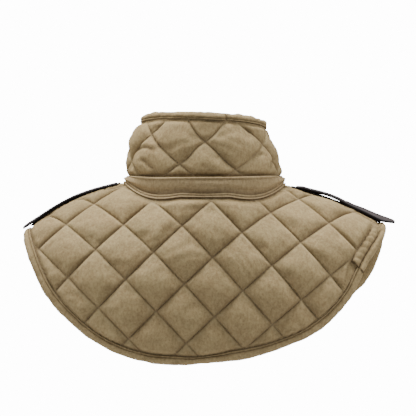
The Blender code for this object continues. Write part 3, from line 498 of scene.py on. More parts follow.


# how far the cloth stands out of the middle surface, how much painted shade it carries and how much painted highlight
def quiltHeight(a, b, spot, free, form, margin):
    fa, fb = a - np.floor(a), b - np.floor(b)
    size, seed, rule = form["cell"], form["seed"], quiltForm
    crown = pillow(fa, form["sag"]) * pillow(1 - fb, form["sag"])
    full = form["full"] * (1 + rule["cellSpread"] * noise2(np.floor(a) * 0.7 + 3.3, np.floor(b) * 0.7 + 1.7, seed))
    lump = spot / rule["lumpSize"]
    full = full * (1 + rule["lump"] * noise2(lump[:, 0], lump[:, 1], seed + 1))
    height = mix(form["stitch"], full, crown)
    # broad soft folds where the cloth is drawn across a puff
    drawn = spot @ np.array(rule["foldTurn"])
    fold = abs(noise2(drawn[:, 0] / rule["foldLength"], drawn[:, 1] / rule["foldWidth"], seed + 7))
    height = height + form["foldDepth"] * (fold - rule["foldLevel"]) * crown
    # short gathers that run away from each stitched line
    for near, along, turn in ((nearLine(fa) * size, b, 2), (nearLine(fb) * size, a, 3)):
        run = along * size
        wave = np.sin(2 * math.pi * run / form["gather"] + 4 * noise2(run / 0.03, near / 0.05, seed + turn))
        patch = np.clip(rule["gatherPatch"] + noise2(run / 0.022 + 5, near / 0.03 + a * 0.4, seed + turn + 4), 0, 1)
        fade = np.exp(-near / rule["gatherReach"]) * ease(2 * near / rule["gatherReach"])
        height = height + form["gatherDepth"] * wave * patch * fade
    rise = ease((free - margin) / form["rise"])
    height = mix(form["flat"], height, rise)
    # painted shade: the valleys along the stitched lines are darkened, most on each puff's lower sides, and a line of
    # painted shade lies beside the rolled edge
    shade, paintedHighlight = 0.0, 0.0
    for share, (line, slope, pale) in zip((fa, 1 - fb, 1 - fa, fb), quiltSides.values()):
        off = share * size
        valley = np.maximum(line * np.exp(-off / rule["lineShade"]), slope * np.exp(-off / rule["softShade"]))
        shade = np.maximum(shade, valley)
        paintedHighlight = np.maximum(paintedHighlight, pale * np.exp(-((off - rule["highlightAt"]) / rule["highlightWidth"]) ** 2))
    edge = np.exp(-abs(free - margin - rule["edgeAt"]) / rule["edgeWidth"])
    shade = np.maximum(shade * rise, form["edgeShade"] * edge)
    # painted highlight: the upper sides of each puff are paler, in soft patches, where light from above catches the
    # nap
    patch = 0.6 + 0.4 * noise2(spot[:, 0] / rule["highlightPatch"], spot[:, 1] / rule["highlightPatch"], seed + 9)
    return height, shade, paintedHighlight * rise * ease(np.minimum(fa, 1 - fb) * size / rule["highlightRun"]) * patch


# mantle
mantlePitch = 0.0740
quiltBack = {"level": -0.1314, "tilt": 0.1075, "arch": 0.30, "column": 0.0265}
quiltFront = {"level": -0.1100, "tilt": 0.0, "arch": 0.40, "column": 0.0370}
mantleQuilt = {"cell": mantlePitch / math.sqrt(2), "full": 0.0082, "stitch": 0.0017, "flat": 0.0020, "sag": 0.80,
               "gather": 0.0085, "gatherDepth": 0.0004, "foldDepth": 0.0015, "rise": 0.0050, "edgeShade": 0.9,
               "seed": 11}
mantleForm = {"margin": 0.0068, "broadMargin": 0.0140, "tuck": 0.0094, "tuckRise": 0.0090, "seamRise": 0.0075,
              "seamFrom": 0.095, "lineShade": 0.0014, "seamShade": 0.9, "lining": 0.82, "broadShift": (0.0145, 0.012),
              "fanFrom": 0.02, "fan": (0.03, 0.2), "edgeGap": 0.001, "neckGap": 0.0008, "edgeStep": 0.004}
# the cloth lies flatter under the straps: from where, how wide, then how high on either side
strapBed = {"from": 0.104, "half": 0.0140, "rise": 0.008, "left": 0.0041, "rightInner": 0.0020, "rightOuter": 0.0030,
            "outerFrom": 0.130, "outerRise": 0.050}
rowX = np.linspace(-0.26, 0.26, 261)
rowLength = {}
for key, form, rows in (("back", backForm, quiltBack), ("front", frontForm, quiltFront)):
    levels = rows["level"] + rows["tilt"] * rowX - rows["arch"] * rowX ** 2
    rowLength[key] = np.array([lengthAtHeight(x, z, form) for x, z in zip(rowX, levels)])


hemRoll = {"crease": 0.017, "slant": 1.8, "creaseDepth": 0.0006, "creaseShade": 0.35, "joinX": -0.1990,
           "bandReach": 0.0092, "gather": 0.0115, "gatherSlant": 0.011, "gatherDepth": 0.0008, "gatherShade": 0.6,
           "lap": 0.22, "broadEnd": 0.008, "broadStart": 0.020}


def hemBroad(x, q):     # 1 where the hem's strip is broad: behind the right shoulder, down to the join
    return ease((hemRoll["joinX"] + 0.012 - x) / hemRoll["broadEnd"]) * ease((q - seamQ) / hemRoll["broadStart"])


neckPath = np.stack(neckXq(np.linspace(0, 2 * math.pi, 241)), axis=1)


def mantlePanel(name, side, outline, freeEdge):
    rows = quiltBack if side == "back" else quiltFront
    sign = 1 if side == "back" else -1
    v = rows["level"] + np.interp(outline[:, 0], rowX, rowLength[side]) - abs(outline[:, 1])
    bounds = ((outline[:, 0].min(), v.min()), (outline[:, 0].max(), v.max()))

    def toSheet(u, w):
        if side == "back":
            even, more = mantleForm["fan"]          # the lines fan out a little upwards
            u = u + (w - rows["level"] - mantleForm["fanFrom"]) * (even + more * u)
        return u, sign * (rows["level"] + np.interp(u, rowX, rowLength[side]) - w)

    def place(a, b, spot, isOuter):
        x, q = spot[:, 0], spot[:, 1]
        low, form, bed = mantleQuilt["flat"], mantleForm, strapBed
        free = nearestOn(spot, freeEdge)[1]
        inX, upQ = form["broadShift"]
        margin = mix(form["margin"], form["broadMargin"], hemBroad(x - inX, q + upQ))
        height, shade, paintedHighlight = quiltHeight(a, b, spot, free, mantleQuilt, margin)
        collar = nearestOn(spot, neckPath)[1] - form["tuck"]        # the band lies over the neck edge
        tucked = ease(collar / form["tuckRise"])
        height = mix(low, height, tucked)
        shade = np.maximum(shade * tucked, form["seamShade"] * np.exp(-abs(collar) / form["lineShade"]))
        ridge = abs(q - seamQ)
        height = mix(low, height, mix(1.0, ease(ridge / form["seamRise"]), ease((abs(x) - form["seamFrom"]) / 0.01)))
        shade = np.maximum(shade, form["seamShade"] * np.exp(-ridge / form["lineShade"]))
        under = ease((abs(x) - bed["from"]) / 0.010) * (1 - ease((abs(q) - bed["half"]) / bed["rise"]))
        outer = ease((-x - bed["outerFrom"]) / bed["outerRise"])
        flat = np.where(x > 0, bed["left"], mix(bed["rightInner"], bed["rightOuter"], outer))
        height = mix(height, np.minimum(height, flat), under)
        out = np.where(isOuter, height, -form["lining"] * height)
        return mantlePoint(x, q) + mantleNormal(x, q) * out[:, None], shade, paintedHighlight

    return quiltNet(name, (mantlePitch, mantlePitch), (rows["column"], rows["level"]), bounds, toSheet, outline,
                    place, mantleQuilt["stitch"])


def buildMantle():
    edge, form = mantleEdgePath, mantleForm
    front = edge[:, 1] < seamQ
    back = edge[edge[:, 1] > seamQ]
    angles = np.linspace(0, math.pi, 91)
    neck = np.stack(neckXq(angles), axis=1)
    neck = neck[neck[:, 1] > seamQ + form["edgeGap"]]
    rightTip, leftTip = (back[-1][0], seamQ), (back[0][0], seamQ)
    leftNeck, rightNeck = (neck[0][0] + form["neckGap"], seamQ), (neck[-1][0] - form["neckGap"], seamQ)
    outline = np.concatenate([[leftTip], back, spaced([rightTip, rightNeck], form["edgeStep"]), neck[::-1],
                              spaced([leftNeck, leftTip], form["edgeStep"])[:-1]])
    pieces = [mantlePanel("mantleBack", "back", outline, edge)]
    for sign, name in ((1, "mantleFrontLeft"), (-1, "mantleFrontRight")):
        run = edge[front & (edge[:, 0] * sign > 0)]
        run = run if sign < 0 else run[::-1]          # from the shoulder tip to the slit's top
        angles = np.linspace(0, -math.pi / 2, 60) if sign > 0 else np.linspace(math.pi, 1.5 * math.pi, 60)
        frontNeck = np.stack(neckXq(angles), axis=1)
        frontNeck = frontNeck[abs(frontNeck[:, 0]) > frontSlit + form["edgeGap"]]
        tip, corner = (run[0][0], seamQ), (frontNeck[0][0], seamQ)
        outline = np.concatenate([[tip], run, frontNeck[::-1], spaced([corner, tip], form["edgeStep"])[:-1]])
        pieces.append(mantlePanel(name, "front", outline, edge))
    for obj, node in zip(pieces, ("mantle_back", "mantle_front_left", "mantle_front_right")):
        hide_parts(node)
    return pieces


# standing collar
standPitch = (0.0780, 0.0600)
standRow = {"level": 0.0505, "column": 0.0, "tilt": -0.065}
standQuilt = {"cell": 0.0492, "full": 0.0070, "stitch": 0.0017, "flat": 0.0020, "sag": 0.86, "gather": 0.0080,
              "gatherDepth": 0.0005, "foldDepth": 0.0014, "rise": 0.0075, "edgeShade": 0.8, "seed": 31}
standDetail = {"margin": 0.0080, "rowAt": 0.0102, "rowWidth": 0.0007, "rowDepth": 0.0007, "rowShade": 0.6,
               "flatCell": (0.006, 0.070), "flatCellHalf": (0.017, 0.011), "flatCellHeight": 0.0038,
               "rightFrom": (0.092, 0.036), "rightSpread": (0.020, 0.018), "rightHeight": 0.0036,
               "creaseFrom": 0.0011, "creaseShade": 380, "bandRise": 0.007, "bandShade": 0.0025, "lining": 0.85,
               "flatCellShade": 0.34, "bandGap": 0.004, "bandDark": 0.9, "thinnest": 0.001}
# creases pressed into the stand by wear: from, to, width, depth
standCreases = [
    {"from": (-0.101, 0.041), "to": (-0.060, 0.039), "width": 0.0026, "depth": 0.0028},
    {"from": (-0.066, 0.038), "to": (-0.044, 0.043), "width": 0.0028, "depth": 0.0015},
    {"from": (-0.088, 0.028), "to": (-0.066, 0.018), "width": 0.0026, "depth": 0.0028},
    {"from": (-0.070, 0.020), "to": (-0.058, 0.007), "width": 0.0024, "depth": 0.0022},
    {"from": (-0.118, 0.022), "to": (-0.086, 0.009), "width": 0.0024, "depth": 0.0026},
    {"from": (-0.046, 0.037), "to": (-0.014, 0.049), "width": 0.0030, "depth": 0.0013},
    {"from": (0.016, 0.053), "to": (0.044, 0.060), "width": 0.0030, "depth": 0.0012},
    {"from": (0.058, 0.028), "to": (0.086, 0.034), "width": 0.0026, "depth": 0.0026},
    {"from": (0.084, 0.013), "to": (0.118, 0.031), "width": 0.0026, "depth": 0.0024},
    {"from": (0.055, 0.072), "to": (0.066, 0.056), "width": 0.0028, "depth": 0.0016},
]


# where a crossing sits off the even lattice: its place, and how far it is drawn along and up
standPulls = {"u": [0.0, -0.078, 0.078, -0.039, 0.039, -0.039, 0.039, -0.117, 0.117, -0.156, 0.156],
              "z": [0.0505, 0.0505, 0.0505, 0.0205, 0.0205, 0.0805, 0.0805, 0.0205, 0.0205, 0.0505, 0.0505],
              "along": [0, 0.0037, 0.0120, 0.0096, -0.0020, 0, 0, 0, 0, 0, 0],
              "up": [0, 0.0052, 0.0028, -0.0006, -0.0027, 0.0150, 0.0060, 0, 0, 0, 0]}
pullReach, creaseBow = 0.024, 0.004


def pulled(u, w, way):
    total, weight = 0.0, 1e-4
    for atU, atZ, pull in zip(standPulls["u"], standPulls["z"], standPulls[way]):
        near = np.exp(-((u - atU) ** 2 + (w - atZ) ** 2) / pullReach ** 2)
        total, weight = total + near * pull, weight + near
    return total / weight


def creaseDepth(spot, creases):
    total = np.zeros(len(spot))
    for crease in creases:
        a, b = np.array(crease["from"]), np.array(crease["to"])
        d = b - a
        t = ((spot - a) @ d) / (d @ d)
        bow = creaseBow * np.sin(np.clip(t, 0, 1) * math.pi)
        off = ((spot - a) @ np.array([-d[1], d[0]])) / np.linalg.norm(d) - bow
        fade = ease((t + 0.05) / 0.3) * ease((1.05 - t) / 0.3)
        off = off / crease["width"]         # a groove with a low ridge beside it
        total += crease["depth"] * fade * (np.exp(-off ** 2) - 0.25 * np.exp(-((off - 2.2) ** 2)))
    return total


def bandLine(u):     # the band's upper edge stays high round to the shoulders and falls in front
    top = bandTop(angleAt(u))
    fall = ease((abs(u) - standForm["bandFallFrom"]) / standForm["bandFall"])
    return mix(np.maximum(top, standForm["bandHigh"]), top, fall)


def buildStand():
    edge = standEdgePath
    foot = np.array([(u, float(standBase(angleAt(u)))) for u in np.linspace(edge[-1][0], edge[0][0], 150)])
    outline = np.concatenate([edge, foot[1:-1]])
    v = outline[:, 1] - standRow["tilt"] * outline[:, 0]
    bounds = ((outline[:, 0].min(), v.min()), (outline[:, 0].max(), v.max()))

    def toSheet(u, w):
        return u + pulled(u, w, "along"), w + pulled(u, w, "up") + standRow["tilt"] * u

    def place(a, b, spot, isOuter):
        u, z = spot[:, 0], spot[:, 1]
        form, flat = standDetail, standQuilt["flat"]
        free = nearestOn(spot, edge)[1]
        band = z - np.maximum(standBase(angleAt(u)) + form["bandGap"], bandLine(u))
        height, shade, paintedHighlight = quiltHeight(a, b, spot, free, standQuilt, form["margin"])
        low = ease((band + 0.001) / form["bandRise"])
        # a stitched line below the roll, and a small cell at the top of the back that lies flat
        row = np.exp(-((free - form["rowAt"]) / form["rowWidth"]) ** 2)
        height = height - form["rowDepth"] * row
        shade = np.maximum(shade, form["rowShade"] * row)
        (cellU, cellZ), (halfU, halfZ) = form["flatCell"], form["flatCellHalf"]
        sunk = np.exp(-((u - cellU) / halfU) ** 4 - ((z - cellZ) / halfZ) ** 4)
        height = mix(height, np.minimum(height, form["flatCellHeight"]), sunk)
        # the right side's upper part is drawn in
        (fromU, fromZ), (spreadU, spreadZ) = form["rightFrom"], form["rightSpread"]
        side = ease((u - fromU) / spreadU) * ease((z - fromZ) / spreadZ)
        height = mix(height, np.minimum(height, form["rightHeight"]), side)
        crease = creaseDepth(spot, standCreases)
        pressed = form["creaseShade"] * np.maximum(crease - form["creaseFrom"], 0) * low
        shade = np.maximum(shade, np.maximum(form["flatCellShade"] * sunk, pressed))
        height = mix(flat, height, low) - crease * low * isOuter
        shade = np.maximum(shade * ease(band / 0.003), form["bandDark"] * np.exp(-abs(band) / form["bandShade"]))
        out = np.where(isOuter, np.maximum(height, form["thinnest"]), -form["lining"] * height)
        return standPoint(u, z) + standNormal(u, z) * out[:, None], shade, paintedHighlight * low

    obj = quiltNet("stand", standPitch, (standRow["column"], standRow["level"]), bounds, toSheet, outline, place,
                   standQuilt["stitch"])
    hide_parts("collar_stand")
    return obj


# rolled strips: a grid wrapped round a section and drawn along an edge
# rings is (stations, points, 3); across and along become the strip's own coordinates, in metres
def rolledStrip(name, rings, across, along, dark):
    stations, size = rings.shape[:2]
    bm = bmesh.new()
    bmesh.ops.create_grid(bm, x_segments=size, y_segments=stations - 1, size=0.5)
    flat = np.array([v.co[:2] for v in bm.verts]) + 0.5
    i = np.rint(flat[:, 0] * size).astype(int)
    j = np.rint(flat[:, 1] * (stations - 1)).astype(int)
    spots = rings[j, i % size]
    shades = np.broadcast_to(dark, (stations, size))[j, i % size]
    hollow = bm.verts.layers.float.new("hollow")
    for vert, spot, shade in zip(bm.verts, spots, shades):
        vert.co = spot
        vert[hollow] = shade
    uv = bm.loops.layers.uv.new("strip")
    wide = np.append(across, across[-1] + (across[-1] - across[-2]))
    bm.verts.index_update()
    for face in bm.faces:
        for loop in face.loops:
            k = loop.vert.index
            loop[uv].uv = (along[j[k]], wide[i[k]])
    bmesh.ops.remove_doubles(bm, verts=bm.verts, dist=1e-6)
    bmesh.ops.holes_fill(bm, edges=[e for e in bm.edges if e.is_boundary], sides=0)
    return finishMesh(name, meshFrom(name, bm), 75)


def pathNormals(path):
    d = np.zeros_like(path)
    d[1:-1] = path[2:] - path[:-2]
    d[0], d[-1] = path[1] - path[0], path[-1] - path[-2]
    d = unit(d)
    return np.stack([d[:, 1], -d[:, 0]], axis=1)


# the roll over an edge, from its inner side out over the nose: how far in, how high, how shaded
rollNarrow = np.array([
    (0.0072, 0.0016, 1.0), (0.0070, 0.0030, 0.9), (0.0065, 0.0039, 0.2), (0.0058, 0.0042, 0), (0.0052, 0.0037, 0.8),
    (0.0045, 0.0048, 0.3), (0.0035, 0.0056, 0), (0.0021, 0.0056, 0), (0.0008, 0.0052, 0), (-0.0008, 0.0045, 0),
    (-0.0022, 0.0033, 0), (-0.0031, 0.0018, 0), (-0.0035, 0, 0)])
rollWide = np.array([
    (0.0142, 0.0016, 1.0), (0.0140, 0.0030, 0.7), (0.0130, 0.0044, 0.1), (0.0112, 0.0051, 0), (0.0092, 0.0051, 0),
    (0.0073, 0.0043, 0), (0.0060, 0.0033, 0.5), (0.0052, 0.0023, 1.0), (0.0045, 0.0036, 0.5), (0.0034, 0.0050, 0),
    (0.0014, 0.0054, 0), (-0.0012, 0.0044, 0), (-0.0035, 0, 0)])
rollForm = {"swell": 0.06, "swellRun": 0.040, "ripple": 0.05, "rippleRun": 0.013, "core": 0.0024, "step": 0.003}
rollLining = np.array([(0.0066, -0.0018), (0.0040, -0.0022), (0.0015, -0.0022), (0.0015, 0.0022), (0.0040, 0.0022)])


def foldSection(broad, swell):
    top = mix(rollNarrow, rollWide, broad) * np.array([1, swell, 1])
    under = rollNarrow[-2::-1] * np.array([1, -swell, 1])
    lining = np.append(rollLining, [[top[0, 0] * 0.96, 0.0015]], axis=0)
    return np.concatenate([top, under, np.append(lining, np.zeros((len(lining), 1)), axis=1)])


def foldRings(path, pointAt, normalAt, form, broad, shape, seed):     # shape may change each section
    normals = pathNormals(path)
    along = lengthAlong(path)
    rings, shades = [], []
    first = foldSection(0.0, 1.0)
    count = len(first)
    angle = np.linspace(0, 2 * math.pi, count, endpoint=False)
    edge3 = pointAt(path)
    out3 = unit(pointAt(path + normals * 0.002) - edge3)
    soft = np.where(np.arange(count) < count - 6, 1.0, 0.0)
    soft[[0, 1, count - 8, count - 7]] = 0.0, 0.5, 0.5, 0.0
    for k, (spot, side) in enumerate(zip(path, normals)):
        s = along[k]
        swell = 1 + rollForm["swell"] * float(noise2(s / rollForm["swellRun"], 0.0, seed))
        swell += rollForm["ripple"] * float(noise2(s / rollForm["rippleRun"], 5.0, seed + 1))
        section = shape(k, foldSection(broad[k], swell))
        # creases that run slantwise round the roll
        slant = s / form["crease"] + angle / (2 * math.pi) * form["slant"]
        crease = noise2(slant, angle * 0.6 + s / 0.05, seed + 2) + 0.6 * noise2(slant * 2.3 + 9, angle * 1.3, seed + 3)
        inward, lift = section[:, 0], section[:, 1]
        flat = spot - side * np.maximum(inward, 0)[:, None]
        ring = pointAt(flat) + normalAt(flat) * lift[:, None] + out3[k] * np.maximum(-inward, 0)[:, None]
        centre = edge3[k] - out3[k] * rollForm["core"]
        rings.append(ring + unit(ring - centre) * (crease * form["creaseDepth"] * soft)[:, None])
        shades.append(np.maximum(section[:, 2], form["creaseShade"] * np.clip(-crease - 0.25, 0, 1) * soft))
    return np.array(rings), lengthAlong(first[:, :2]), along, np.array(shades)


topRollForm = {"crease": 0.013, "slant": 3.0, "creaseDepth": 0.0009, "creaseShade": 0.55,
               "nickAt": 0.033, "nickWidth": 0.0022, "nickDepth": 0.55, "lip": 0.14}


def surfaceFunctions(point, normal):
    return (lambda flat: point(flat[..., 0], flat[..., 1])), (lambda flat: normal(flat[..., 0], flat[..., 1]))


def trimmed(path, start, end):
    along = lengthAlong(path)
    goal = np.linspace(start, along[-1] - end, round((along[-1] - start - end) / rollForm["step"]))
    return np.stack([np.interp(goal, along, path[:, k]) for k in (0, 1)], axis=1)


def buildHem():
    pointAt, normalAt = surfaceFunctions(mantlePoint, mantleNormal)
    path = trimmed(mantleEdgePath, hemRoll["bandReach"], hemRoll["bandReach"])
    join = np.where((path[:, 1] > seamQ) & (path[:, 0] < hemRoll["joinX"]))[0][0]
    parts = []
    for side, run in (("Left", path[:join + 1]), ("Right", path[join:])):
        right = side == "Right"
        broad = hemBroad(run[:, 0] - 0.012, run[:, 1]) * right

        def shape(k, section, broad=broad, run=run, right=right):
            section = section.copy()
            inward, lift = section[:, 0], section[:, 1]
            # the inner half of the broad strip is gathered slantwise
            turn = (run[k][0] + 0.6 * run[k][1]) / hemRoll["gather"] - inward / hemRoll["gatherSlant"]
            ripple = np.sin(2 * math.pi * turn + 2.2 * noise2(turn / 1.7, 0 * turn, 57))
            inner = ease((inward - 0.0056) / 0.001) * broad[k] * (lift > 0.0022)
            section[:, 1] += hemRoll["gatherDepth"] * ripple * inner
            section[:, 2] = np.maximum(section[:, 2], hemRoll["gatherShade"] * np.clip(-ripple - 0.3, 0, 1) * inner)
            if right:       # the strip's turned end laps over at the join
                outer = len(rollWide)
                section[:outer, 1] *= 1 + hemRoll["lap"] * (1 - ease((k - 2.0) / 2.0))
                section[:outer, 2] = np.maximum(section[:outer, 2], 1.0 if k == 0 else 0.0)
            return section

        rings, across, along, dark = foldRings(run, pointAt, normalAt, hemRoll, broad, shape, 51)
        parts.append(rolledStrip("hemRoll" + side, rings, across, along, dark))
        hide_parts("hem_binding_" + side.lower())
    return parts


def buildTopRoll():
    pointAt, normalAt = surfaceFunctions(standPoint, standNormal)
    edge = standEdgePath
    band = bandTop(angleAt(edge[:, 0])) + 0.001
    run = spaced(edge[edge[:, 1] > band][::-1], rollForm["step"])
    at = (run[:, 0] - topRollForm["nickAt"]) / topRollForm["nickWidth"]
    behind = standNormal(run[:, 0], run[:, 1])[:, 1] > 0
    nick, lip = np.exp(-at ** 2) * behind, np.exp(-((at + 3.0) / 1.6) ** 2) * behind

    def shape(k, section):
        swell = 1 - topRollForm["nickDepth"] * nick[k] + topRollForm["lip"] * lip[k]
        section = section * np.array([1.0, swell, 1.0])
        # painted shade in the nick
        section[:, 2] = np.maximum(section[:, 2], nick[k])
        return section

    rings, across, along, dark = foldRings(run, pointAt, normalAt, topRollForm, np.zeros(len(run)), shape, 71)
    obj = rolledStrip("topRoll", rings, across, along, dark)
    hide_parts("collar_top_binding")
    return obj


# neck band: its lower edge is folded under, sewn down with two rows and lies on the mantle
bandForm = {"foldDepth": 0.0005, "drop": 0.0026, "dropAt": -0.012, "dropHalf": 0.060, "stations": 300,
            "endAt": 0.128, "endHalf": 0.030, "endFolds": 0.0006, "endBulge": 0.0012, "endNarrow": 0.0034,
            "endFill": 0.0040, "endFillOut": 0.0012}
# on the mantle: how far out, how high, how shaded; up the stand: share of its height, how far out, how shaded
bandFoot = [(0.0030, 0.0002, 0), (0.0070, 0.0001, 0), (0.0082, 0.0003, 1), (0.0084, 0.0012, 0.9),
            (0.0078, 0.0020, 0.1), (0.0066, 0.0022, 0), (0.0058, 0.0012, 0.9), (0.0050, 0.0022, 0.1),
            (0.0040, 0.0026, 0), (0.0032, 0.0018, 0.8)]
bandWall = [(0.09, 0.0040, 0.1), (0.14, 0.0046, 0), (0.22, 0.0052, 0), (0.32, 0.0057, 0), (0.44, 0.0060, 0),
            (0.56, 0.0059, 0), (0.67, 0.0056, 0), (0.76, 0.0053, 0.1), (0.82, 0.0052, 0.3), (0.87, 0.0058, 0.1),
            (0.92, 0.0062, 0), (0.96, 0.0056, 0), (0.99, 0.0042, 0), (1.00, 0.0024, 0.2), (1.00, 0.0004, 1),
            (0.85, 0.0004, 0), (0.45, 0.0004, 0)]


def buildBand():
    half, form = (math.pi - standForm["bandSlit"]) * standForm["radius"], bandForm
    us = np.linspace(-half, half, form["stations"])
    angle = angleAt(us)
    x, q = neckXq(angle)
    step = 0.02
    ax, aq = neckXq(angle + step)
    bx, bq = neckXq(angle - step)
    d = unit(np.stack([ax - bx, aq - bq], axis=1))
    nx, nq = d[:, 1], -d[:, 0]
    base = standBase(angle)
    tall = bandLine(us) - form["drop"] * np.exp(-((us - form["dropAt"]) / form["dropHalf"]) ** 2) - base
    ends = np.exp(-((abs(us) - form["endAt"]) / form["endHalf"]) ** 2)      # 1 at the shoulders
    rings, shades = [], []
    for out, lift, dark in bandFoot:
        fill = ends * ease((0.0060 - out) / 0.002) * (lift > 0.001)         # the corner is filled out there
        out = out + form["endFillOut"] * fill
        fx, fq = x + out * nx, q + out * nq
        rings.append(mantlePoint(fx, fq) + mantleNormal(fx, fq) * (edgeHalf + lift + form["endFill"] * fill)[:, None])
        shades.append(dark * (1 - 0.6 * ends))
    for share, lift, dark in bandWall:
        z = base + share * tall
        # long soft folds, and ridges that run together at the shoulders, with painted shade in the troughs between the
        # ridges
        stray = 0.8 * noise2(us / 0.05, share * 2 + 0 * us, 83)
        fan = np.sin(2 * math.pi * (share * 2.4 - abs(us) * 7) + stray) * ends
        fold = noise2(us / 0.040 + share * 1.4, share * 2.2 + us * 0, 81)
        outer = lift > 0.003
        free = 1.0 if 0.2 < share < 0.85 and lift > 0.001 else 0.0
        push = lift + free * (form["foldDepth"] * fold + form["endFolds"] * fan)
        push = push - form["endNarrow"] * outer * ends * ease((share - 0.70) / 0.16)
        push = push + form["endBulge"] * outer * ends * ease((0.75 - share) / 0.5)
        if share > 0.85:
            z = z + 0.0006 * noise2(us / 0.030, 3.0 + us * 0, 85)
        rings.append(standPoint(us, z) + standNormal(us, z) * (edgeHalf + push)[:, None])
        shades.append(np.maximum(dark * (1 - 0.5 * ends), 0.55 * free * np.clip(-fan - 0.25, 0, 1)))
    rings = np.stack(rings, axis=1)
    obj = rolledStrip("neckBand", rings, lengthAlong(rings[len(us) // 2]), us + half, np.stack(shades, axis=1))
    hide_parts("neck_band")
    return obj


# shoulder straps: a base sewn along the ridge, and a long strap over it that a post holds down
strapForm = {"width": 0.024, "tipWidth": 0.009, "taper": 0.014, "baseWidth": 0.024, "baseThickness": 0.0012,
             "gap": 0.0002, "hole": 0.0020, "corner": 0.0007, "skived": 0.35, "sinkFrom": 0.185, "sinkRun": 0.060,
             "riseFrom": 0.200, "riseRun": 0.024, "tipRound": 0.003, "tipSwell": 0.0022, "baseStep": 0.003,
             "step": 0.002, "baseCorner": (0.80, 60), "tipThin": (0.85, 0.010), "endShare": 0.62}
postForm = {"radius": 0.0046, "dome": 0.20, "neck": 0.0026, "stem": 0.0036, "sunk": 0.0010}
# lifts: along the ridge, how far off the base, how far tipped towards the back
strapSides = {
    "Left": {"sign": 1, "press": 0.0048, "sink": 0.0004, "skive": 0.055, "thickness": 0.0024, "start": 0.114,
             "baseEnds": (0.110, 0.2235), "baseRise": 0.0, "post": 0.2000, "proud": 0.0002,
             "holes": (0.1815, 0.2185),
             "lifts": [(0.114, 0.0001, 0.0), (0.140, 0.0003, 0.0), (0.205, 0.0003, 0.02), (0.2315, 0.0022, 0.26)]},
    "Right": {"sign": -1, "press": 0.0032, "sink": 0.0, "skive": 0.008, "thickness": 0.0030, "start": 0.118,
              "baseEnds": (0.112, 0.2270), "baseRise": 0.0030, "post": 0.1850, "proud": 0.0007,
              "holes": (0.2030, 0.2214),
              "lifts": [(0.118, 0.0, 0.0), (0.134, 0.0003, 0.0), (0.154, 0.0018, 0.02), (0.170, 0.0020, 0.07),
                        (0.185, 0.0010, 0.12), (0.205, 0.0024, 0.23), (0.222, 0.0040, 0.28), (0.240, 0.0088, 0.30)]},
}


def strapSection(half, thickness):     # round the strap: across it, and up from its middle
    r, t, share = strapForm["corner"], thickness / 2, strapForm["endShare"]
    top = [(y, t) for y in np.linspace(-half + 2 * r, half - 2 * r, 7)]
    top += [(half - r, t * 0.95), (half - r * 0.3, t * share), (half, 0.0), (half - r * 0.3, -t * share)]
    top += [(half - r, -t * 0.95)]
    return np.array(top + [(-y, -h) for y, h in top])


def skived(form, run):     # thin at the neck
    return strapForm["skived"] + (1 - strapForm["skived"]) * np.minimum(1.0, run / form["skive"])


def strapRings(xs, halves, thickness, middle, rolls, form):
    rings = []
    share, run = strapForm["tipThin"]
    for x, half, high, roll in zip(xs, halves, middle, rolls):
        thin = skived(form, x - xs[0]) * min(1.0, share + (xs[-1] - x) / run)
        section = strapSection(half, thickness * thin)
        y, at = section[:, 0], np.full(len(section), form["sign"] * x)
        high = high - thickness * (1 - thin) / 2 + section[:, 1]
        point = mantlePoint(at, y) + mantleNormal(at, y) * high[:, None]
        point[:, 2] -= y * roll
        rings.append(point)
    return np.array(rings)


def pressed(form, x):     # how high the base lies on the cloth
    return form["press"] - form["sink"] * ease((strapForm["sinkFrom"] - x) / strapForm["sinkRun"])


def strapMiddle(form, x):
    keys, lifts, rolls = zip(*form["lifts"])
    base = strapForm["baseThickness"] * skived(form, x - form["baseEnds"][0]) + strapForm["gap"]
    return pressed(form, x) + base + form["thickness"] / 2 + hermite(keys, lifts, x), hermite(keys, rolls, x)


def onStrap(bm, form, x, lift):     # turns and moves a small piece to the strap's middle line
    at, zero = np.array([form["sign"] * x]), np.zeros(1)
    middle, roll = strapMiddle(form, x)
    normal = mantleNormal(at, zero)[0]
    place = mantlePoint(at, zero)[0] + normal * (float(middle) + lift)
    out = unit(normal + np.array([0, float(roll), 0]))
    bmesh.ops.transform(bm, matrix=Vector(out).to_track_quat("Z", "Y").to_matrix().to_4x4(), verts=bm.verts)
    bmesh.ops.translate(bm, verts=bm.verts, vec=tuple(place))


def buildBase(side, form):
    first, last = form["baseEnds"]
    xs = np.arange(first, last + 0.001, strapForm["baseStep"])
    share, gain = strapForm["baseCorner"]
    halves = strapForm["baseWidth"] / 2 * np.clip(share + gain * np.minimum(xs - xs[0], xs[-1] - xs), 0, 1)
    # the far end comes up with the strap
    freed = ease((xs - strapForm["riseFrom"]) / strapForm["riseRun"]) * (form["baseRise"] > 0)
    middle = pressed(form, xs) + strapForm["baseThickness"] / 2 + form["baseRise"] * freed
    rolls = freed * strapMiddle(form, xs)[1]
    rings = strapRings(xs, halves, strapForm["baseThickness"], middle, rolls, form)
    across = lengthAlong(rings[0])
    return rolledStrip("strapBase" + side, rings, across, xs, np.ones(len(across))), across


def punchHole(strap, form, x):
    bm = bmesh.new()
    bmesh.ops.create_cone(bm, cap_ends=True, segments=20, radius1=strapForm["hole"], radius2=strapForm["hole"],
                          depth=0.008)
    onStrap(bm, form, x, 0.0)
    cutter = addObject("cutter", meshFrom("cutter", bm))
    cut = strap.modifiers.new("hole", "BOOLEAN")
    cut.object, cut.operation, cut.solver = cutter, "DIFFERENCE", "EXACT"
    bpy.context.view_layer.update()
    made = bpy.data.meshes.new_from_object(strap.evaluated_get(bpy.context.evaluated_depsgraph_get()))
    strap.modifiers.clear()
    strap.data = made
    bpy.data.objects.remove(cutter)


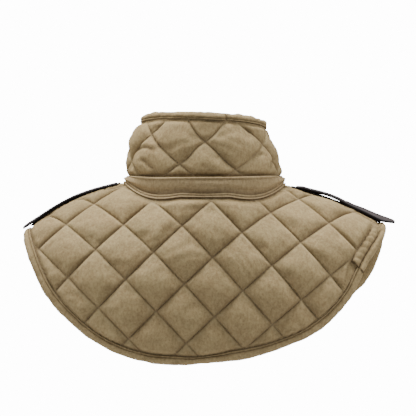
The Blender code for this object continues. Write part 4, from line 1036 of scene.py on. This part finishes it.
def buildLongStrap(side, form, across):
    start, end = form["start"], form["lifts"][-1][0]
    xs = np.append(np.arange(start, end - 0.001, strapForm["step"]), end)
    tip = strapForm["tipWidth"] / 2
    halves = np.interp(end - xs, [0, strapForm["tipRound"], strapForm["taper"]],
                       [tip, tip + strapForm["tipSwell"], strapForm["width"] / 2])
    middle, rolls = strapMiddle(form, xs)
    rings = strapRings(xs, halves, form["thickness"], middle, rolls, form)
    edges = np.tile([0.0] * 7 + [1.0] * 5, 2)           # the cut edges are black
    strap = rolledStrip("strap" + side, rings, across, xs, edges)
    for x in form["holes"]:
        punchHole(strap, form, x)
    strap.data.name = "strap" + side
    return strap


def buildPost(side, form):     # a stem with a domed head
    bm = bmesh.new()
    bmesh.ops.create_uvsphere(bm, u_segments=24, v_segments=12, radius=postForm["radius"])
    bmesh.ops.scale(bm, vec=(1, 1, postForm["dome"]), verts=bm.verts)
    bmesh.ops.bisect_plane(bm, geom=bm.verts[:] + bm.edges[:] + bm.faces[:], plane_co=(0, 0, -0.0003),
                           plane_no=(0, 0, -1), clear_outer=True)
    bmesh.ops.holes_fill(bm, edges=[e for e in bm.edges if e.is_boundary], sides=0)
    bottom = [f for f in bm.faces if f.calc_center_median().z < -0.00025]
    bmesh.ops.inset_region(bm, faces=bottom, thickness=postForm["neck"])
    made = bmesh.ops.extrude_face_region(bm, geom=bottom)["geom"]
    down = [v for v in made if isinstance(v, bmesh.types.BMVert)]
    bmesh.ops.translate(bm, vec=(0, 0, -postForm["stem"]), verts=down)
    onStrap(bm, form, form["post"], form["thickness"] / 2 + form["proud"] - postForm["sunk"])
    return finishMesh("post" + side, meshFrom("post" + side, bm), 40)


def buildStrap(side):
    form, low = strapSides[side], "_" + side.lower()
    base, across = buildBase(side, form)
    strap, post = buildLongStrap(side, form, across), buildPost(side, form)
    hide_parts("strap_base" + low)
    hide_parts("strap" + low)
    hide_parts("strap_post" + low)
    return base, strap, post


mantle = buildMantle()
print("mantle built")
stand = buildStand()
print("stand built")
hem = buildHem()
topRoll = buildTopRoll()
band = buildBand()
print("bindings and band built")
strapPieces = {side: buildStrap(side) for side in strapSides}
print("straps built")


# node helpers
def setInputs(node, values):
    for socket, value in values.items():
        node.inputs[socket].default_value = value


def newGroup(name, inputs, outputs):
    group = bpy.data.node_groups.new(name, "ShaderNodeTree")
    for socket, kind, value in inputs:
        made = group.interface.new_socket(socket, in_out="INPUT", socket_type=kind)
        if value is not None:
            made.default_value = value
    for socket in outputs:
        group.interface.new_socket(socket, in_out="OUTPUT", socket_type="NodeSocketFloat")
    return group, group.nodes.new("NodeGroupInput").outputs, group.nodes.new("NodeGroupOutput").inputs


def mathNode(tree, operation, a, b=None, clamp=False):
    node = tree.nodes.new("ShaderNodeMath")
    node.operation = operation
    node.use_clamp = clamp
    for index, value in enumerate((a, b)):
        if isinstance(value, (int, float)):
            node.inputs[index].default_value = value
        elif value is not None:
            tree.links.new(value, node.inputs[index])
    return node.outputs[0]


def plus(tree, a, b):
    return mathNode(tree, "ADD", a, b)


def minus(tree, a, b, clamp=False):
    return mathNode(tree, "SUBTRACT", a, b, clamp)


def times(tree, a, b, clamp=False):
    return mathNode(tree, "MULTIPLY", a, b, clamp)


def blend(tree, a, b, share):     # share of a, the rest of b
    return plus(tree, times(tree, a, share), times(tree, b, 1 - share))


def raised(tree, value, floor, gain):     # 0 at the floor, then up to 1
    return times(tree, minus(tree, value, floor), gain, True)


def mixColour(tree, factor, a, b):
    node = tree.nodes.new("ShaderNodeMix")
    node.data_type = "RGBA"
    for socket, value in ((node.inputs[0], factor), (node.inputs[6], a), (node.inputs[7], b)):
        if isinstance(value, (int, float)):
            socket.default_value = value
        elif isinstance(value, tuple):
            socket.default_value = (*value, 1.0)
        else:
            tree.links.new(value, socket)
    return node.outputs[2]


def noiseNode(tree, vector, scale, detail, rough):
    node = tree.nodes.new("ShaderNodeTexNoise")
    setInputs(node, {"Scale": scale, "Detail": detail, "Roughness": rough})
    tree.links.new(vector, node.inputs["Vector"])
    return node.outputs["Fac"]


def attributeValue(tree, name):
    reader = tree.nodes.new("ShaderNodeAttribute")
    reader.attribute_name = name
    return reader.outputs["Fac"]


def bumpNormal(tree, shader, height, strength, distance):
    bump = tree.nodes.new("ShaderNodeBump")
    setInputs(bump, {"Strength": strength, "Distance": distance})
    tree.links.new(height, bump.inputs["Height"])
    tree.links.new(bump.outputs[0], shader.inputs["Normal"])


def newMaterial(name):     # with the shader and the piece's own coordinates
    material = bpy.data.materials.new(name)
    material.use_nodes = True
    tree = material.node_tree
    return material, tree, tree.nodes["Principled BSDF"], tree.nodes.new("ShaderNodeTexCoord").outputs["Object"]


# brushed nap: scale, detail and roughness of its noises
napForm = {"fine": (1600.0, 2.0, 0.7), "hair": (330.0, 4.0, 0.70), "rub": (95.0, 3.0, 0.55), "patch": (22.0, 2.0, 0.5),
           "hairStretch": (1.0, 1.0, 0.75)}


def brushedNapGroup():     # short brushed fibres, soft patches and stray hairs, as a shade and a height
    group, start, end = newGroup("brushedNap", [("Vector", "NodeSocketVector", None)], ["Shade", "Patch", "Height"])
    stretch = group.nodes.new("ShaderNodeMapping")
    setInputs(stretch, {"Scale": napForm["hairStretch"]})
    group.links.new(start[0], stretch.inputs["Vector"])
    fine, rub, patch = (noiseNode(group, start[0], *napForm[key]) for key in ("fine", "rub", "patch"))
    hair = noiseNode(group, stretch.outputs[0], *napForm["hair"])
    group.links.new(blend(group, hair, fine, 0.6), end[0])
    group.links.new(blend(group, rub, patch, 0.45), end[1])
    group.links.new(plus(group, blend(group, hair, fine, 0.5), times(group, rub, 0.8)), end[2])
    return group


def stitchGroup():     # a row of stitches, from the distance to a line and the run along it
    sockets = [("Distance", 0.0), ("Run", 0.0), ("Pitch", 0.0032), ("Width", 0.0005)]
    group, start, end = newGroup("stitchRow", [(name, "NodeSocketFloat", value) for name, value in sockets],
                                 ["Thread", "Height"])
    share = mathNode(group, "FRACT", mathNode(group, "DIVIDE", start["Run"], start["Pitch"]))
    dash = mathNode(group, "ABSOLUTE", times(group, minus(group, share, 0.5), 2.0))
    dash = minus(group, 1.0, mathNode(group, "POWER", dash, 4.0), True)
    off = mathNode(group, "DIVIDE", mathNode(group, "ABSOLUTE", start["Distance"]), start["Width"])
    thread = times(group, minus(group, 1.0, times(group, off, off), True), dash)
    for socket in (0, 1):
        group.links.new(thread, end[socket])
    return group


napGroup, rowGroup = brushedNapGroup(), stitchGroup()


def groupNode(tree, group):
    node = tree.nodes.new("ShaderNodeGroup")
    node.node_tree = group
    return node


def threadMask(tree, form):     # rows: which axis the line crosses, metres in one unit of it, and the lines
    uv = tree.nodes.new("ShaderNodeUVMap")
    uv.uv_map = form["uv"]
    split = tree.nodes.new("ShaderNodeSeparateXYZ")
    tree.links.new(uv.outputs[0], split.inputs[0])
    thread = None
    for axis, scale, lines in form["rows"]:
        run, cross = times(tree, split.outputs[1 - axis], scale), split.outputs[axis]
        for line in lines:
            if line == "lattice":
                share = mathNode(tree, "FRACT", plus(tree, cross, 0.5))
                off = times(tree, minus(tree, share, 0.5), scale)
            else:
                off = minus(tree, cross, line)
            row = groupNode(tree, rowGroup)
            setInputs(row, {"Pitch": form["pitch"], "Width": form["thread"]})
            tree.links.new(off, row.inputs["Distance"])
            tree.links.new(run, row.inputs["Run"])
            made = row.outputs["Thread"]
            thread = made if thread is None else mathNode(tree, "MAXIMUM", thread, made)
    return thread


def clothMaterial(name, form):     # brushed cotton, with painted shade in the valleys and a painted highlight on the puffs' upper sides
    material, tree, shader, place = newMaterial(name)
    nap = groupNode(tree, napGroup)
    tree.links.new(place, nap.inputs[0])
    colour = mixColour(tree, raised(tree, nap.outputs["Patch"], *form["patchGain"]), form["dark"], form["light"])
    hairs = mixColour(tree, raised(tree, nap.outputs["Shade"], *form["hairGain"]), form["hairDark"], form["hairLight"])
    colour = mixColour(tree, form["speck"], colour, hairs)
    # painted shade in the valleys, creases and edge lines, from the hollow attribute
    colour = mixColour(tree, times(tree, attributeValue(tree, "hollow"), form["hollow"], True), colour, form["valley"])
    # painted highlight on the puffs' upper sides
    colour = mixColour(tree, times(tree, attributeValue(tree, "paintedHighlight"), form["paintedHighlight"], True), colour, form["highlightColour"])
    thread = threadMask(tree, form)
    colour = mixColour(tree, times(tree, thread, form["threadShare"]), colour, form["threadColour"])
    tree.links.new(colour, shader.inputs["Base Color"])
    height = plus(tree, nap.outputs["Height"], times(tree, thread, form["threadHeight"]))
    bumpNormal(tree, shader, height, form["bump"], form["bumpDistance"])
    setInputs(shader, {"Roughness": 0.95, "Specular IOR Level": 0.15, "Sheen Weight": form["sheen"],
                       "Sheen Roughness": 0.45, "Sheen Tint": (*form["light"], 1.0)})
    return material


clothForm = {"dark": (0.296, 0.205, 0.101), "light": (0.380, 0.297, 0.150), "hairDark": (0.228, 0.152, 0.072),
             "hairLight": (0.462, 0.360, 0.192), "valley": (0.070, 0.044, 0.020), "highlightColour": (0.50, 0.405, 0.225),
             "patchGain": (0.32, 2.6), "hairGain": (0.40, 5.0), "hollow": 0.9, "paintedHighlight": 0.55, "speck": 0.55,
             "sheen": 0.12, "bump": 0.45, "bumpDistance": 0.0012, "uv": "strip", "threadShare": 0.75,
             "threadColour": (0.30, 0.225, 0.135), "threadHeight": 0.8, "pitch": 0.0032, "thread": 0.0006}
padded = {"hollow": 0.75, "uv": "quilt"}
quiltedCloth, standCloth = (
    clothMaterial(name, clothForm | padded | {"rows": [(axis, quilt["cell"], ["lattice"]) for axis in (0, 1)]})
    for name, quilt in (("quiltedCloth", mantleQuilt), ("standCloth", standQuilt)))
rollCloth = clothMaterial("rollCloth", clothForm | {
    "dark": (0.284, 0.206, 0.099), "light": (0.392, 0.297, 0.154), "rows": [(1, 1.0, [0.0016])]})
bandCloth = clothMaterial("bandCloth", clothForm | {
    "dark": (0.335, 0.244, 0.134), "light": (0.450, 0.341, 0.196), "rows": [(1, 1.0, [0.0072, 0.0106])]})


def leatherMaterial(name, form):     # dark dyed leather: pebbled grain, rubbed spots and black edges
    material, tree, shader, place = newMaterial(name)
    cells = tree.nodes.new("ShaderNodeTexVoronoi")
    setInputs(cells, {"Scale": form["grain"]})
    tree.links.new(place, cells.inputs["Vector"])
    rub = noiseNode(tree, place, *form["rub"])
    colour = mixColour(tree, raised(tree, rub, *form["rubGain"]), form["dark"], form["light"])
    colour = mixColour(tree, times(tree, attributeValue(tree, "hollow"), 1.0, True), colour, form["edge"])
    tree.links.new(colour, shader.inputs["Base Color"])
    least, more = form["gloss"]         # roughness where it is rubbed least, and what rubbing adds
    tree.links.new(plus(tree, least, times(tree, rub, more)), shader.inputs["Roughness"])
    setInputs(shader, {"Specular IOR Level": 0.3})
    bumpNormal(tree, shader, plus(tree, cells.outputs["Distance"], times(tree, rub, form["rubHeight"])), form["bump"],
               form["bumpDistance"])
    return material


strapLeather = leatherMaterial("strapLeather", {
    "dark": (0.040, 0.032, 0.032), "light": (0.072, 0.058, 0.056), "edge": (0.006, 0.004, 0.005), "grain": 900.0,
    "rub": (60.0, 4.0, 0.6), "rubGain": (0.40, 3.0), "gloss": (0.52, 0.30), "rubHeight": 0.7, "bump": 0.25,
    "bumpDistance": 0.0006})


def metalMaterial(name, form):
    material, tree, shader, place = newMaterial(name)
    rub = noiseNode(tree, place, *form["rub"])
    tree.links.new(mixColour(tree, rub, form["dark"], form["light"]), shader.inputs["Base Color"])
    least, more = form["gloss"]
    tree.links.new(plus(tree, least, times(tree, rub, more)), shader.inputs["Roughness"])
    setInputs(shader, {"Metallic": 1.0})
    return material


postMetal = metalMaterial("postMetal", {
    "dark": (0.05, 0.045, 0.04), "light": (0.22, 0.20, 0.18), "rub": (400.0, 4.0, 0.6), "gloss": (0.25, 0.3)})


def dress(obj, material):
    obj.data.materials.clear()
    obj.data.materials.append(material)


finishes = [(mantle, quiltedCloth, "quilted_cloth"), ([stand], standCloth, "quilted_cloth"),
            (hem + [topRoll], rollCloth, "binding_cloth"), ([band], bandCloth, "band_cloth")]
for base, strap, post in strapPieces.values():
    finishes += [([base, strap], strapLeather, "strap_leather"), ([post], postMetal, "post_metal")]
for pieces, material, slot in finishes:
    for obj in pieces:
        dress(obj, material)
        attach(obj, "root")
dress(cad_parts["front_clasp"], strapLeather)
print("materials done")


# camera, floor and light
view = {"size": 416, "pixel": 0.00131, "far": 3.0, "column": 205, "level": -0.033}
studio = {"floor": -1.10, "floorHalf": 3.0, "under": 0.08, "over": 0.62, "backdrop": 14.0}
lights = {"overhead": {"place": (0.34, 0.12, 1.45), "aim": (0, 0.03, -0.05), "size": (0.8, 0.6), "power": 43},
          "leftRim": {"place": (1.7, 0.3, 0.7), "aim": (0, 0, -0.05), "size": (0.6, 1.0), "power": 10},
          "rightRim": {"place": (-1.5, 0.25, 1.0), "aim": (-0.15, 0, -0.05), "size": (0.6, 1.0), "power": 22}}
cameraObject = addObject("camera", bpy.data.cameras.new("camera"))
cameraObject.data.angle = 2 * math.atan(view["size"] / 2 * view["pixel"] / view["far"])
cameraObject.location = (view["pixel"] * (view["column"] - view["size"] / 2), view["far"], view["level"])
cameraObject.rotation_euler = (math.pi / 2, 0.0, math.pi)
bpy.context.scene.camera = cameraObject

bm = bmesh.new()
bmesh.ops.create_grid(bm, x_segments=1, y_segments=1, size=studio["floorHalf"])
bmesh.ops.translate(bm, verts=bm.verts, vec=(0, 0, studio["floor"]))
floor = addObject("floor", meshFrom("floor", bm))
floorMaterial = bpy.data.materials.new("paleFloor")
floorMaterial.use_nodes = True
setInputs(floorMaterial.node_tree.nodes["Principled BSDF"], {"Base Color": (0.92, 0.92, 0.92, 1), "Roughness": 0.9})
floor.data.materials.append(floorMaterial)

world = bpy.data.worlds.new("studio")
bpy.context.scene.world = world
world.use_nodes = True
tree = world.node_tree
skyward = tree.nodes.new("ShaderNodeSeparateXYZ")
tree.links.new(tree.nodes.new("ShaderNodeTexCoord").outputs["Generated"], skyward.inputs[0])
dome = times(tree, plus(tree, skyward.outputs[2], 0.25), 0.8, True)
dome = plus(tree, studio["under"], times(tree, dome, studio["over"]))
seen = tree.nodes.new("ShaderNodeLightPath").outputs["Is Camera Ray"]
level = plus(tree, times(tree, dome, minus(tree, 1.0, seen)), times(tree, seen, studio["backdrop"]))
tree.links.new(level, tree.nodes["Background"].inputs[1])
tree.nodes["Background"].inputs[0].default_value = (1, 1, 1, 1)

for name, form in lights.items():
    light = bpy.data.lights.new(name, "AREA")
    light.shape = "RECTANGLE"
    light.size, light.size_y = form["size"]
    light.energy = form["power"]
    lamp = addObject(name, light)
    lamp.location = form["place"]
    lamp.rotation_euler = (Vector(form["aim"]) - Vector(form["place"])).to_track_quat("-Z", "Y").to_euler()
print("studio done")
